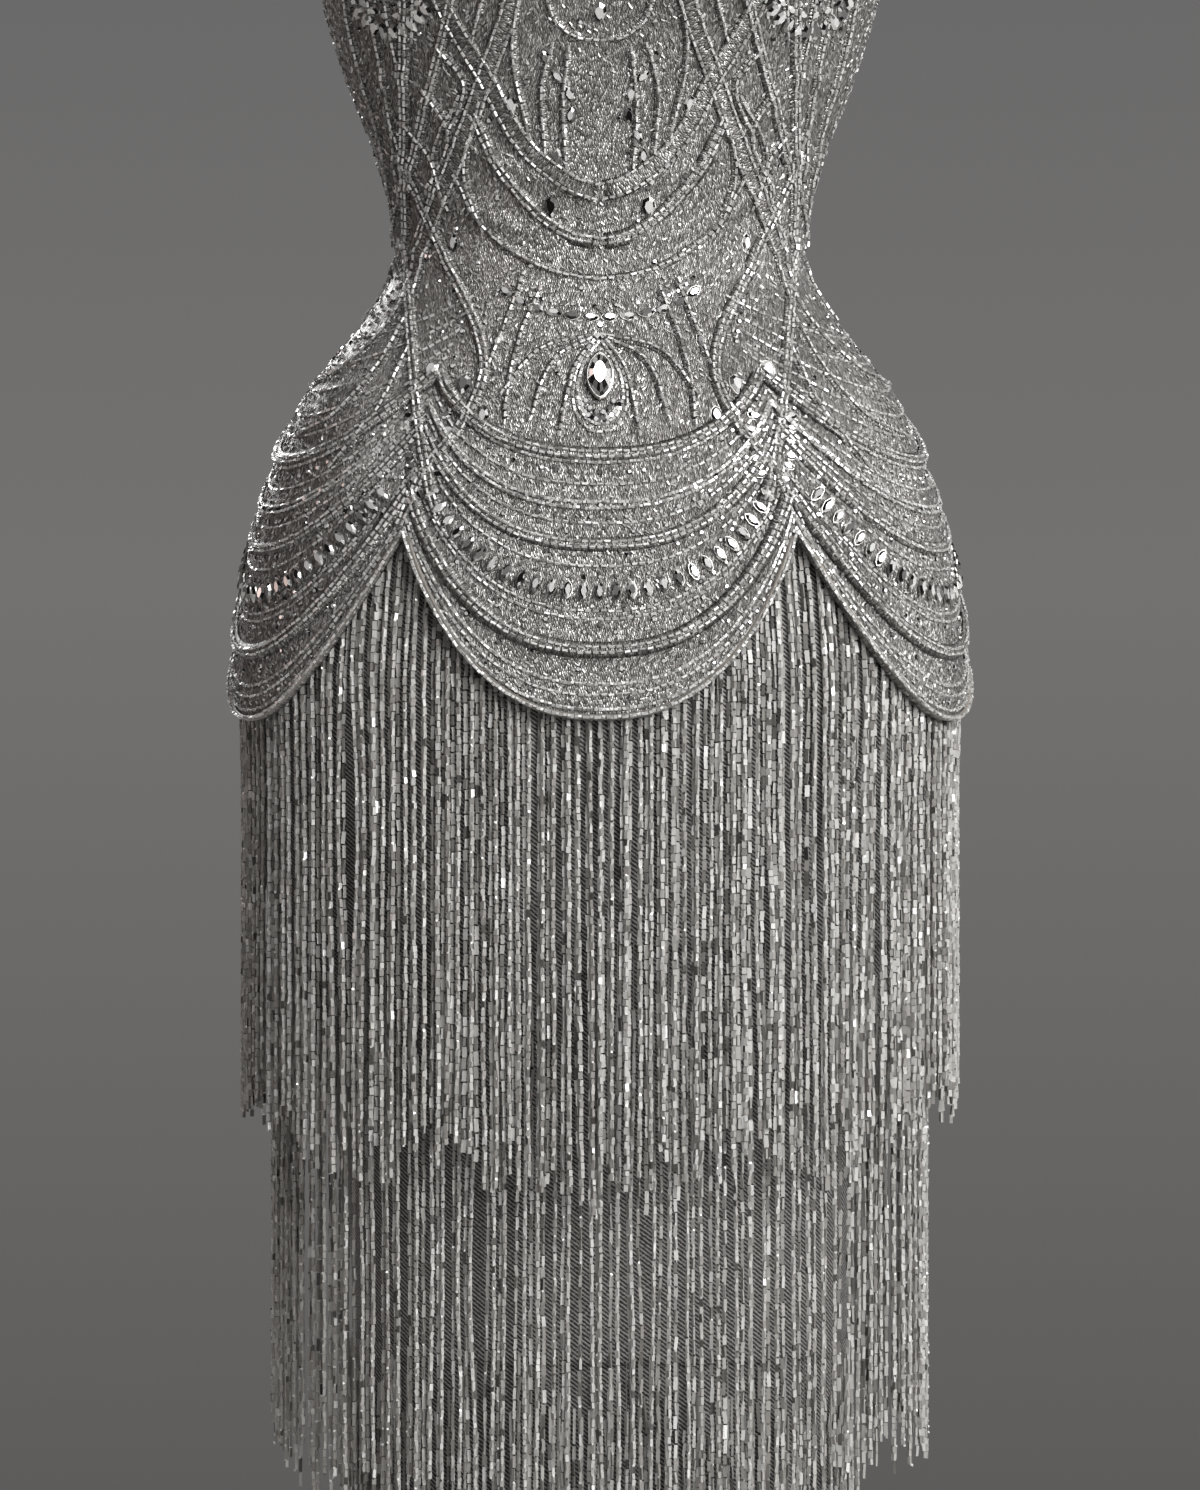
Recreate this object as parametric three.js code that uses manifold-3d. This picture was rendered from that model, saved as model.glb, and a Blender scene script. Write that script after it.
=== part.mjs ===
// A sleeveless evening gown: a fitted, beaded tunic whose hem is cut in five scallops, over a narrow
// underskirt that carries three tiers of hanging fringe. It is held in its worn shape, hollow, with
// neck, armholes and hem open. Millimetres, +Z up, the front faces -Y, and the origin is on the
// shoulder line, where the straps are held up.
//
// Every place on the gown is given by a turn and a height. The turn is 0 at the centre front, 90 at
// the side seam and 180 at the centre back, and it is negative on the -X side.
import * as THREE from "three";
import { mergeVertices } from "three/addons/utils/BufferGeometryUtils.js";
import Module from "manifold-3d";

const wasm = await Module();
wasm.setup();

// ---- Driving sizes ----

const WAIST_Z = -396;
const WAIST_TO_PEAK = 159; // from the waist down to the points between the scallops
const SCALLOP_DEPTH = 96;
const PEAK_Z = WAIST_Z - WAIST_TO_PEAK;
const LOW_Z = PEAK_Z - SCALLOP_DEPTH;
const HIP_Z = -629; // the widest level
const HEM_Z = -1110; // of the underskirt
const UNDERSKIRT_TOP_Z = -500;
const ROUNDNESS = 2.2; // exponent of the flattened oval that every section is
const CLOTH = 2; // beaded tulle on its lining
const UNDERSKIRT_CLOTH = 1.5;
const SEAM_GAP = 0.3;
const UNDERSKIRT_OUT = -6.6; // the underskirt's outer face, measured from the tunic's
const SEAM_X = 100; // the princess seams stand upright this far from the middle

// The outer face of the gown, section by section: down to the hips it is the tunic, and below them
// the line that the underskirt keeps UNDERSKIRT_OUT within.
const SECTIONS = [
  { z: -120, halfWidth: 128, front: 74, back: 80 },
  { z: -155, halfWidth: 142, front: 88, back: 86 },
  { z: -195, halfWidth: 152, front: 104, back: 92 },
  { z: -232, halfWidth: 155, front: 112, back: 94 },
  { z: -268, halfWidth: 147.5, front: 108, back: 92 },
  { z: -311, halfWidth: 134.5, front: 96, back: 88 },
  { z: -353, halfWidth: 118.5, front: 87, back: 84 },
  { z: WAIST_Z, halfWidth: 108.5, front: 82, back: 83 },
  { z: -417, halfWidth: 110.5, front: 84, back: 86 },
  { z: -438, halfWidth: 123.5, front: 91, back: 95 },
  { z: -459, halfWidth: 140.5, front: 100, back: 108 },
  { z: -481, halfWidth: 157, front: 109, back: 121 },
  { z: -523, halfWidth: 174.5, front: 120, back: 139 },
  { z: -565, halfWidth: 186, front: 126, back: 149 },
  { z: HIP_Z, halfWidth: 193.7, front: 130, back: 154 },
  { z: -660, halfWidth: 192.5, front: 129.5, back: 153 },
  { z: -700, halfWidth: 189, front: 127, back: 148 },
  { z: -769, halfWidth: 176.5, front: 119, back: 134 },
  { z: -830, halfWidth: 157, front: 109, back: 118 },
  { z: -890, halfWidth: 142, front: 102, back: 108 },
  { z: -984, halfWidth: 137, front: 99, back: 103 },
  { z: HEM_Z, halfWidth: 136, front: 98, back: 102 },
];

// The two cups, cut into the front by the princess seams.
const CUP = { x: 74, z: -236, across: 40, up: 45, depth: 20 };

// Scallops by the turns at which they begin and end, on the +X side. The first is half of the front one.
const SCALLOPS = [
  { from: -31, to: 31 },
  { from: 31, to: 108 },
  { from: 108, to: 180 },
];
const SCALLOP_CURVE = 2.2; // exponent of each scallop's outline
const SWAG_RISE = 0.38; // how much flatter a swag is for each millimetre that it lies above the edge

// Raised swags that follow the scallops, by their distance above the edge at its lowest point.
const SWAGS = [
  { above: 135, height: 1.5 },
  { above: 110, height: 1.5 },
  { above: 66, height: 2.2 },
  { above: 36, height: 1.5 },
];
const SWAG_HALF_WIDTH = 6;

const BORDER = { above: 14, height: 0.8 };
const PLAIN_ROWS = [208, 187, 162, 90]; // distances above the scalloped edge

// The rows of points between the neckline and the hips, by their levels at the centre front, the
// princess seams and the side seams. Three of them are raised garlands.
const GARLAND_CURVE = 1.7; // exponent of their outline
const UPPER_ROWS = [
  { middle: -236, seam: -198, side: -215, height: 0 },
  { middle: -266, seam: -228, side: -236, height: 0 },
  { middle: -300, seam: -258, side: -262, height: 0 },
  { middle: -336, seam: -285, side: -290, height: 0 },
  { middle: -368, seam: -308, side: -314, height: 0 },
  { middle: -375, seam: -316, side: -321, height: 1.5 },
  { middle: -382, seam: -324, side: -328, height: 0 },
  { middle: -396, seam: -350, side: -353, height: 0 },
  { middle: -402, seam: -358, side: -360, height: 1.5 },
  { middle: -408, seam: -366, side: -367, height: 0 },
  { middle: -420, seam: -394, side: -394, height: 0 },
  { middle: -426, seam: -402, side: -401, height: 1.5 },
  { middle: -432, seam: -410, side: -408, height: 0 },
];

// Each tier hangs straight down below its hang level. The first has its tape behind the scallops, and
// the others have theirs at a level root.
const TIERS = [
  { name: "fringe_tier_1", strands: 90, hang: HIP_Z, tip: -880, inward: 1.6 },
  { name: "fringe_tier_2", strands: 74, hang: -769, tip: -1062, inward: 0, root: -769 },
  { name: "fringe_tier_3", strands: 66, hang: -984, tip: -1345, inward: 0, root: -984 },
];
const FRINGE = {
  width: 5,
  depth: 2.6, // of a strand, and of the tape it hangs from
  out: -3.2, // the tape's outer face, measured from the tunic's
  tapeHeight: 8,
  bendZ: -590, // where a strand from high behind the scallops bends over the belly
  shortest: 14, // no bend is nearer to a root than this
  tipSwing: 20, // the tips hang this much lower in the middle, and higher at the sides
  tipUneven: 9,
};
// Down its free length, a strand drifts sideways and thins: how far down, how far aside, how wide.
const STRAND_SHAPE = [
  { down: 0.55, aside: 1, taper: 0.9 },
  { down: 1, aside: 2, taper: 0.35 },
];

const STRAP = { width: 18, thickness: 2, frontX: 86, backX: 80 };
// The strap's middle line over the +X shoulder, from front to back.
const STRAP_PATH = [
  { x: 89, y: -82, z: -105 },
  { x: 94, y: -60, z: -48 },
  { x: 98, y: -32, z: -9 },
  { x: 100, y: 0, z: STRAP.thickness / 2 },
  { x: 98, y: 32, z: -12 },
  { x: 93, y: 58, z: -58 },
  { x: 86, y: 74, z: -130 },
];

const ZIP = { topZ: -229, halfWidth: 12, out: -2.8, thickness: 0.8, endZ: -497 };
const PULL = { width: 3.2, length: 16, thickness: 1, eye: 1.5, hole: 0.8 };
const SLIDER = { width: 6.4, thickness: 1.2, height: 9, topZ: -232, off: 0.4 };
// The two ears on the slider hold the pin that the tab swings on.
const EAR = { width: 0.9, height: 2, below: 4, pinOut: 2, pinRadius: 0.5, past: 1.2 };

// ---- The gown's surface ----

const rad = THREE.MathUtils.degToRad;
const lerp = THREE.MathUtils.lerp;

// A smooth curve through one column of SECTIONS.
function column(name, z) {
  const last = SECTIONS.length - 1;
  const zc = THREE.MathUtils.clamp(z, SECTIONS[last].z, SECTIONS[0].z);
  let i = 0;
  while (i < last - 1 && SECTIONS[i + 1].z > zc) i++;
  const slope = (k) => {
    const a = SECTIONS[Math.max(k - 1, 0)];
    const b = SECTIONS[Math.min(k + 1, last)];
    return (b[name] - a[name]) / (b.z - a.z);
  };
  const from = SECTIONS[i];
  const to = SECTIONS[i + 1];
  const h = to.z - from.z;
  const u = (zc - from.z) / h;
  return (
    from[name] * (1 + 2 * u) * (1 - u) ** 2 +
    slope(i) * h * u * (1 - u) ** 2 +
    to[name] * u * u * (3 - 2 * u) +
    slope(i + 1) * h * u * u * (u - 1)
  );
}

const flattened = (v) => Math.sign(v) * Math.abs(v) ** (2 / ROUNDNESS);

function skin(turn, z) {
  const s = flattened(Math.sin(rad(turn)));
  const c = flattened(Math.cos(rad(turn)));
  const x = column("halfWidth", z) * s;
  const depth = column(c > 0 ? "front" : "back", z);
  const cup = (Math.abs(x) - CUP.x) / CUP.across;
  const rise = (z - CUP.z) / CUP.up;
  const pushed = c > 0 ? CUP.depth * Math.exp(-cup * cup - rise * rise) * Math.min(1, 3 * c) : 0;
  return new THREE.Vector3(x, -depth * c - pushed, z);
}

// The outward normal at a place on the gown.
function outward(turn, z) {
  const step = 1.5;
  const around = skin(turn + step, z).sub(skin(turn - step, z));
  const up = skin(turn, z + step).sub(skin(turn, z - step));
  return around.cross(up).normalize();
}

const place = (turn, z, out) => skin(turn, z).addScaledVector(outward(turn, z), out);

// The turn at which the surface is x millimetres from the middle.
function turnAtX(x, z, onBack = false) {
  const turn = THREE.MathUtils.radToDeg(Math.asin((x / column("halfWidth", z)) ** (ROUNDNESS / 2)));
  return onBack ? 180 - turn : turn;
}

const seamTurn = (z, x = SEAM_X) => turnAtX(x, Math.max(z, PEAK_Z));

// How far across its scallop a turn lies: -1 and 1 at the points, 0 at the lowest place.
function acrossScallop(turn) {
  const t = Math.abs(turn);
  const s = SCALLOPS.find((row) => t <= row.to) ?? SCALLOPS[SCALLOPS.length - 1];
  return (t - (s.from + s.to) / 2) / ((s.to - s.from) / 2);
}

// The height of the swag that runs a given distance above the scalloped edge.
function swagZ(across, above) {
  return LOW_Z + above + (SCALLOP_DEPTH - SWAG_RISE * above) * Math.abs(across) ** SCALLOP_CURVE;
}

const edgeZ = (turn) => swagZ(acrossScallop(turn), 0);

// ---- Closed meshes ----

// A closed mesh of these points and triangles, with its faces pointing out.
function closed(points, triangles) {
  const volume = triangles.reduce((sum, [a, b, c]) => {
    return sum + points[a].dot(points[b].clone().cross(points[c])) / 6;
  }, 0);
  const facing = volume < 0 ? triangles.map(([a, b, c]) => [a, c, b]) : triangles;
  const geometry = new THREE.BufferGeometry();
  geometry.setFromPoints(points);
  geometry.setIndex(facing.flat());
  return geometry;
}

// A wall between two grids of points that match row by row and column by column.
function wall(outer, inner) {
  const rows = outer.length;
  const columns = outer[0].length;
  const points = [...outer.flat(), ...inner.flat()];
  const at = (side, row, col) => (side * rows + row) * columns + col;
  const triangles = [];
  const quad = (a, b, c, d) => triangles.push([a, b, c], [a, c, d]);
  for (let r = 0; r < rows - 1; r++) {
    for (let c = 0; c < columns - 1; c++) {
      quad(at(0, r, c), at(0, r + 1, c), at(0, r + 1, c + 1), at(0, r, c + 1));
      quad(at(1, r, c), at(1, r, c + 1), at(1, r + 1, c + 1), at(1, r + 1, c));
    }
    quad(at(0, r, 0), at(1, r, 0), at(1, r + 1, 0), at(0, r + 1, 0));
    quad(at(0, r, columns - 1), at(0, r + 1, columns - 1), at(1, r + 1, columns - 1), at(1, r, columns - 1));
  }
  for (let c = 0; c < columns - 1; c++) {
    quad(at(0, 0, c), at(0, 0, c + 1), at(1, 0, c + 1), at(1, 0, c));
    quad(at(0, rows - 1, c), at(1, rows - 1, c), at(1, rows - 1, c + 1), at(0, rows - 1, c + 1));
  }
  return closed(points, triangles);
}

// A bar through rings of four corners.
function bar(rings) {
  const triangles = [];
  rings.slice(1).forEach((_, k) => {
    for (let i = 0; i < 4; i++) {
      const [a, b] = [4 * k + i, 4 * k + ((i + 1) % 4)];
      triangles.push([a, b, b + 4], [a, b + 4, a + 4]);
    }
  });
  const end = 4 * (rings.length - 1);
  triangles.push([0, 2, 1], [0, 3, 2], [end, end + 1, end + 2], [end, end + 2, end + 3]);
  return closed(rings.flat(), triangles);
}

// ---- Materials ----

const BEADED = new THREE.MeshStandardMaterial({ color: 0x8b8985, roughness: 0.45, metalness: 0.5 });
const SATIN = new THREE.MeshStandardMaterial({ color: 0x6f6a66, roughness: 0.5, metalness: 0.1 });
const BUGLES = new THREE.MeshStandardMaterial({ color: 0xa3a19c, roughness: 0.25, metalness: 0.7 });
const GLASS = new THREE.MeshStandardMaterial({ color: 0xdfe0df, roughness: 0.05, metalness: 0.3 });
const ZINC = new THREE.MeshStandardMaterial({ color: 0x9c9a97, roughness: 0.3, metalness: 0.9 });

const gown = new THREE.Group();

function add(name, geometry, material) {
  const mesh = new THREE.Mesh(geometry, material);
  mesh.name = name;
  gown.add(mesh);
  return mesh;
}

// ---- Tunic panels ----

// Each panel runs from s = 0 to s = 1 across. turn(s, z) and across(s) place it on the gown and on its
// scallops, and top(s) is its upper edge.
const FRONT_TOP = { middle: -203, strap: -157, side: -195 };
const BACK_TOP = { side: -195, middle: -225 };
const SIDE_TURN = 90;
const SIDE_GAP_TURN = 0.1; // half of the side seam's gap, in degrees
const BACK_GAP_TURN = 0.08;
const SIDE_ACROSS = acrossScallop(SIDE_TURN);
const BACK_POINT = (SCALLOPS[1].to - SIDE_TURN) / (180 - SIDE_TURN); // where a back panel meets a point

const middleFront = {
  columns: 12,
  upper: (s) =>
    UPPER_ROWS.map(({ middle, seam, height }) => ({
      z: lerp(middle, seam, Math.abs(2 * s - 1) ** GARLAND_CURVE),
      height,
    })),
  turn: (s, z) => (2 * s - 1) * seamTurn(z, SEAM_X - SEAM_GAP / 2),
  across: (s) => 2 * s - 1,
  top: (s) => lerp(FRONT_TOP.middle, FRONT_TOP.strap, Math.abs(2 * s - 1) ** 1.5),
};

const sideFront = {
  columns: 7,
  upper: (s) =>
    UPPER_ROWS.map(({ seam, side, height }) => ({ z: lerp(seam, side, s), height: height * (1 - s) })),
  turn: (s, z) => lerp(seamTurn(z, SEAM_X + SEAM_GAP / 2), SIDE_TURN - SIDE_GAP_TURN, s),
  across: (s) => lerp(-1, SIDE_ACROSS, s),
  top: (s) => lerp(FRONT_TOP.strap, FRONT_TOP.side, s ** 0.7),
};

const back = {
  columns: 15,
  upper: () => UPPER_ROWS.filter(({ height }) => !height).map(({ side }) => ({ z: side, height: 0 })),
  turn: (s) => lerp(SIDE_TURN + SIDE_GAP_TURN, 180 - BACK_GAP_TURN, s),
  across: (s) =>
    s < BACK_POINT ? lerp(SIDE_ACROSS, 1, s / BACK_POINT) : lerp(-1, 1, (s - BACK_POINT) / (1 - BACK_POINT)),
  top: (s) => lerp(BACK_TOP.side, BACK_TOP.middle, s),
};

// Distances above the scalloped edge that have a row of points, with the relief of each.
function lowerRows() {
  const rows = PLAIN_ROWS.map((above) => ({ above, height: 0 }));
  for (const { above, height } of SWAGS) {
    rows.push({ above: above + SWAG_HALF_WIDTH, height: 0 });
    rows.push({ above, height });
    rows.push({ above: above - SWAG_HALF_WIDTH, height: 0 });
  }
  rows.push(BORDER, { above: 0, height: BORDER.height });
  return rows.sort((a, b) => b.above - a.above);
}

// The rows of a panel at s, from the top down: height on the gown and relief.
function rowsAt(panel, s) {
  const top = panel.top(s);
  const upper = panel.upper(s);
  const first = [top, (top + upper[0].z) / 2].map((z) => ({ z, height: 0 }));
  const lower = lowerRows().map(({ above, height }) => ({ z: swagZ(panel.across(s), above), height }));
  return [...first, ...upper, ...lower];
}

// A wall over one panel, its outer face at out plus the relief, and its inner face plain.
function panelWall(panel, side) {
  const grid = (face) => {
    const columns = Array.from({ length: panel.columns + 1 }, (_, c) => {
      const s = c / panel.columns;
      return rowsAt(panel, s).map(({ z, height }) => place(side * panel.turn(s, z), z, face(height)));
    });
    return columns[0].map((_, r) => columns.map((column) => column[r]));
  };
  return wall(grid((height) => height), grid(() => -CLOTH));
}

// Piping that lies on the panel along its part of the scalloped edge. Each row of its section is given
// by its distance in from the edge and its height over the panel's border.
const PIPING_ROWS = [
  { inward: 0.2, height: 1.2 },
  { inward: 1.6, height: 2.6 },
  { inward: 3.4, height: 2.6 },
  { inward: 4.8, height: 1.2 },
];
const PIPING_LIFT = 0.6; // of its back over the border

function piping(panel, side) {
  const edge = (s) => place(side * panel.turn(s, PEAK_Z), swagZ(panel.across(s), 0), BORDER.height);
  const step = 0.002;
  const grid = (rowHeight) =>
    PIPING_ROWS.map(({ inward, height }) =>
      Array.from({ length: panel.columns + 1 }, (_, c) => {
        const s = c / panel.columns;
        const out = outward(side * panel.turn(s, PEAK_Z), swagZ(panel.across(s), 0));
        const along = edge(s + step).sub(edge(s - step));
        const into = along.cross(out).normalize();
        if (into.z < 0) into.negate();
        return edge(s).addScaledVector(into, inward).addScaledVector(out, rowHeight(height));
      }),
    );
  return wall(grid((height) => height), grid(() => PIPING_LIFT));
}

for (const [name, panel, side] of [
  ["middle_front", middleFront, 1],
  ["side_front_left", sideFront, 1],
  ["side_front_right", sideFront, -1],
  ["back_left", back, 1],
  ["back_right", back, -1],
]) {
  add(name, panelWall(panel, side), BEADED);
  add(name + "_piping", piping(panel, side), SATIN);
}

// ---- Underskirt ----

const UNDERSKIRT_ROWS = [UNDERSKIRT_TOP_Z, -560, HIP_Z, -690, -735, -780, -820, -860, -905, -984, HEM_Z];
const UNDERSKIRT_COLUMNS = 16;

function underskirt(fromTurn, toTurn) {
  const grid = (out) =>
    UNDERSKIRT_ROWS.map((z) =>
      Array.from({ length: UNDERSKIRT_COLUMNS + 1 }, (_, c) =>
        place(lerp(fromTurn, toTurn, c / UNDERSKIRT_COLUMNS), z, out),
      ),
    );
  return wall(grid(UNDERSKIRT_OUT), grid(UNDERSKIRT_OUT - UNDERSKIRT_CLOTH));
}

const frontEnd = SIDE_TURN - SIDE_GAP_TURN;
add("underskirt_front", underskirt(-frontEnd, frontEnd), SATIN);
add("underskirt_back", underskirt(SIDE_TURN + SIDE_GAP_TURN, 360 - SIDE_TURN - SIDE_GAP_TURN), SATIN);

// ---- Fringe ----

// A number from 0 to 1 that looks random and is the same on every run.
const scatter = (i, k) => {
  const v = Math.sin(i * 12.9898 + k * 78.233) * 43758.5453;
  return v - Math.floor(v);
};

// Turns all round at even distances along the section at a height.
function evenTurns(count, z) {
  const steps = 720;
  const lengths = [0];
  for (let i = 1; i <= steps; i++) {
    const a = skin((360 * (i - 1)) / steps - 180, z);
    lengths.push(lengths[i - 1] + a.distanceTo(skin((360 * i) / steps - 180, z)));
  }
  return Array.from({ length: count }, (_, k) => {
    const wanted = ((k + 0.5) / count) * lengths[steps];
    const i = lengths.findIndex((length) => length >= wanted);
    const part = (wanted - lengths[i - 1]) / (lengths[i] - lengths[i - 1]);
    return (360 * (i - 1 + part)) / steps - 180;
  });
}

// One tier: a closed tape, and three-sided strands that grow out of its lower face. Each strand has
// two corners on the tape's outer face and one on its inner face.
function fringe(tier) {
  const turns = evenTurns(tier.strands, tier.hang);
  const rootZ = (turn) => tier.root ?? edgeZ(turn) + FRINGE.tapeHeight;
  const points = [];
  const triangles = [];
  const quad = (a, b, c, d) => triangles.push([a, b, c], [a, c, d]);
  // The turn that takes a point this many millimetres sideways.
  const turnFor = (distance, turn, z) => distance / skin(turn + 0.5, z).distanceTo(skin(turn - 0.5, z));

  // A strand's section at one height: two corners outside and one inside.
  const section = (turn, z, aside, taper) => {
    const hung = Math.max(z, tier.hang);
    const out = FRINGE.out - (z < tier.hang ? tier.inward : 0);
    const reach = turnFor((FRINGE.width / 2) * taper, turn, hung);
    const middle = turn + turnFor(aside, turn, hung);
    return [
      place(middle - reach, hung, out),
      place(middle + reach, hung, out),
      place(middle, hung, out - FRINGE.depth * taper),
    ].map((p) => p.setZ(z));
  };

  // The tape's corners at one strand, which keep to the scallops.
  const tape = (turn, lift) => {
    const reach = turnFor(FRINGE.width / 2, turn, rootZ(turn));
    return [
      [turn - reach, FRINGE.out],
      [turn + reach, FRINGE.out],
      [turn, FRINGE.out - FRINGE.depth],
    ].map(([t, out]) => place(t, rootZ(t) + lift, out));
  };

  turns.forEach((turn, i) => {
    points.push(...tape(turn, FRINGE.tapeHeight), ...tape(turn, 0));
    const [top, low] = [6 * i, 6 * i + 3];
    const nextTop = 6 * ((i + 1) % tier.strands);
    const nextLow = nextTop + 3;
    triangles.push([top, top + 1, top + 2]);
    quad(top + 1, nextTop, nextTop + 2, top + 2);
    quad(low + 1, low + 2, nextLow + 2, nextLow);
    quad(top, low, low + 1, top + 1);
    quad(top + 1, low + 1, nextLow, nextTop);
    quad(top + 2, nextTop + 2, nextLow + 2, low + 2);
  });

  turns.forEach((turn, i) => {
    const free = Math.min(rootZ(turn), tier.hang);
    const uneven = FRINGE.tipUneven * (2 * scatter(i, tier.strands) - 1);
    const tip = tier.tip - FRINGE.tipSwing * Math.cos(2 * rad(turn)) + uneven;
    const drift = 2 * scatter(i, 3) - 1;
    const bends = [FRINGE.bendZ, tier.hang].filter((z) => z < rootZ(turn) - FRINGE.shortest);
    const sections = [
      ...bends.map((z) => section(turn, z, 0, 1)),
      ...STRAND_SHAPE.map((at) => section(turn, lerp(free, tip, at.down), drift * at.aside, at.taper)),
    ];
    let above = [6 * i + 3, 6 * i + 4, 6 * i + 5];
    for (const corners of sections) {
      const below = corners.map((_, k) => points.length + k);
      points.push(...corners);
      quad(above[0], below[0], below[1], above[1]);
      quad(above[1], below[1], below[2], above[2]);
      quad(above[2], below[2], below[0], above[0]);
      above = below;
    }
    triangles.push([above[0], above[2], above[1]]);
  });
  return closed(points, triangles);
}

for (const tier of TIERS) add(tier.name, fringe(tier), BUGLES);

// ---- Shoulder straps ----

function strap(side) {
  const frontS = (x) => (x / SEAM_X + 1) / 2;
  const onFront = (x) => {
    const z = middleFront.top(frontS(x));
    return place(turnAtX(x, z), z, -CLOTH / 2).setZ(z + 2 * SEAM_GAP);
  };
  const onBack = (x) => {
    const turn = turnAtX(x, BACK_TOP.middle, true);
    const z = back.top((turn - SIDE_TURN) / (180 - SIDE_TURN));
    return place(turn, z, -CLOTH / 2).setZ(z + 2 * SEAM_GAP);
  };
  const path = new THREE.CatmullRomCurve3([
    onFront(STRAP.frontX),
    ...STRAP_PATH.map(({ x, y, z }) => new THREE.Vector3(x, y, z)),
    onBack(STRAP.backX),
  ]);
  const steps = 20;
  const half = STRAP.width / 2;
  const across = new THREE.Vector3(1, 0, 0);
  const rings = Array.from({ length: steps + 1 }, (_, k) => {
    const at = path.getPointAt(k / steps);
    const out = across.clone().cross(path.getTangentAt(k / steps)).normalize().negate();
    const edges = [-half, half].map((w) => at.clone().addScaledVector(across, w));
    if (k === 0) edges.forEach((p, i) => p.copy(onFront(STRAP.frontX + (i ? half : -half))));
    if (k === steps) edges.forEach((p, i) => p.copy(onBack(STRAP.backX + (i ? half : -half))));
    const faces = [STRAP.thickness / 2, -STRAP.thickness / 2];
    const [a, b] = edges.map((p) => faces.map((f) => p.clone().addScaledVector(out, f)));
    return [a[0], b[0], b[1], a[1]];
  });
  return bar(rings.map((ring) => ring.map((p) => p.setX(side * p.x))));
}

add("strap_left", strap(1), BEADED);
add("strap_right", strap(-1), BEADED);

// ---- Zip at the centre back ----

function zipTape() {
  const levels = [ZIP.topZ, ...rowsAt(back, 1).map((row) => row.z), ZIP.endZ]
    .filter((z) => z <= ZIP.topZ && z >= ZIP.endZ)
    .sort((a, b) => b - a);
  const grid = (out) =>
    levels.map((z) =>
      [-1, 0, 1].map((k) => place(180 + k * (180 - turnAtX(ZIP.halfWidth, z, true)), z, out)),
    );
  return wall(grid(ZIP.out), grid(ZIP.out - ZIP.thickness));
}

add("zip_tape", zipTape(), SATIN);

// A closed three.js geometry as a solid, and back.
function solid(geometry) {
  const bare = geometry.clone();
  bare.deleteAttribute("normal");
  bare.deleteAttribute("uv");
  const merged = mergeVertices(bare, 1e-4);
  return new wasm.Manifold(
    new wasm.Mesh({
      numProp: 3,
      vertProperties: new Float32Array(merged.attributes.position.array),
      triVerts: new Uint32Array(merged.index.array),
    }),
  );
}

function geometryOf(manifold) {
  const mesh = manifold.getMesh();
  const geometry = new THREE.BufferGeometry();
  geometry.setAttribute("position", new THREE.BufferAttribute(mesh.vertProperties, 3));
  geometry.setIndex(new THREE.BufferAttribute(mesh.triVerts, 1));
  return geometry;
}

const sliderY = place(180, SLIDER.topZ, 0).y + SLIDER.off; // the face that is next to the cloth
const hingeY = sliderY + SLIDER.thickness + EAR.pinOut;
const hingeZ = SLIDER.topZ - EAR.below;

// A box of this size from this nearest, leftmost and lowest corner.
function box(width, depth, height, x, y, z) {
  return new THREE.BoxGeometry(width, depth, height).translate(x + width / 2, y + depth / 2, z + height / 2);
}

function slider() {
  const bodyZ = SLIDER.topZ - SLIDER.height;
  let made = solid(box(SLIDER.width, SLIDER.thickness, SLIDER.height, -SLIDER.width / 2, sliderY, bodyZ));
  const earIn = PULL.width / 2 + SEAM_GAP;
  const earY = sliderY + SLIDER.thickness / 2;
  const earDepth = hingeY + EAR.past - earY;
  for (const x of [earIn, -earIn - EAR.width]) {
    made = made.add(solid(box(EAR.width, earDepth, EAR.height, x, earY, hingeZ - EAR.height / 2)));
  }
  const pin = new THREE.CylinderGeometry(EAR.pinRadius, EAR.pinRadius, 2 * earIn + EAR.width, 12);
  pin.rotateZ(Math.PI / 2).translate(0, hingeY, hingeZ);
  return geometryOf(made.add(solid(pin)));
}

add("zip_slider", slider(), ZINC);

// The pull tab: an eye round the slider's pin and a flat tongue that hangs from it. The profile lies
// in the plane across the pin, with its first axis along +Y and its second along +Z.
function pullTab() {
  const half = PULL.thickness / 2;
  const join = Math.asin(half / PULL.eye);
  const profile = new THREE.Shape();
  profile.moveTo(half, -PULL.length);
  profile.absarc(0, 0, PULL.eye, -Math.PI / 2 + join, (3 * Math.PI) / 2 - join, false);
  profile.lineTo(-half, -PULL.length);
  profile.closePath();
  profile.holes.push(new THREE.Path().absarc(0, 0, PULL.hole, 0, 2 * Math.PI, true));
  const made = new THREE.ExtrudeGeometry(profile, {
    depth: PULL.width,
    bevelEnabled: false,
    curveSegments: 10,
  });
  // Extruded along Z, then turned so that the depth runs along X.
  made.translate(0, 0, -PULL.width / 2).rotateY(Math.PI / 2).rotateX(Math.PI / 2);
  return made;
}

const tab = add("zip_pull", pullTab(), ZINC);
tab.position.set(0, hingeY, hingeZ);

// ---- The drop stone at the centre front ----

const DROP = { z: -474, width: 13, height: 25, depth: 6, off: 0.7, sides: 14, pointed: 0.4 };
// The stone's rings, from its flat back over the girdle to the table: size and height.
const DROP_RINGS = [
  { size: 0.85, lift: 0 },
  { size: 1, lift: 0.35 },
  { size: 0.5, lift: 1 },
];

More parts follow.
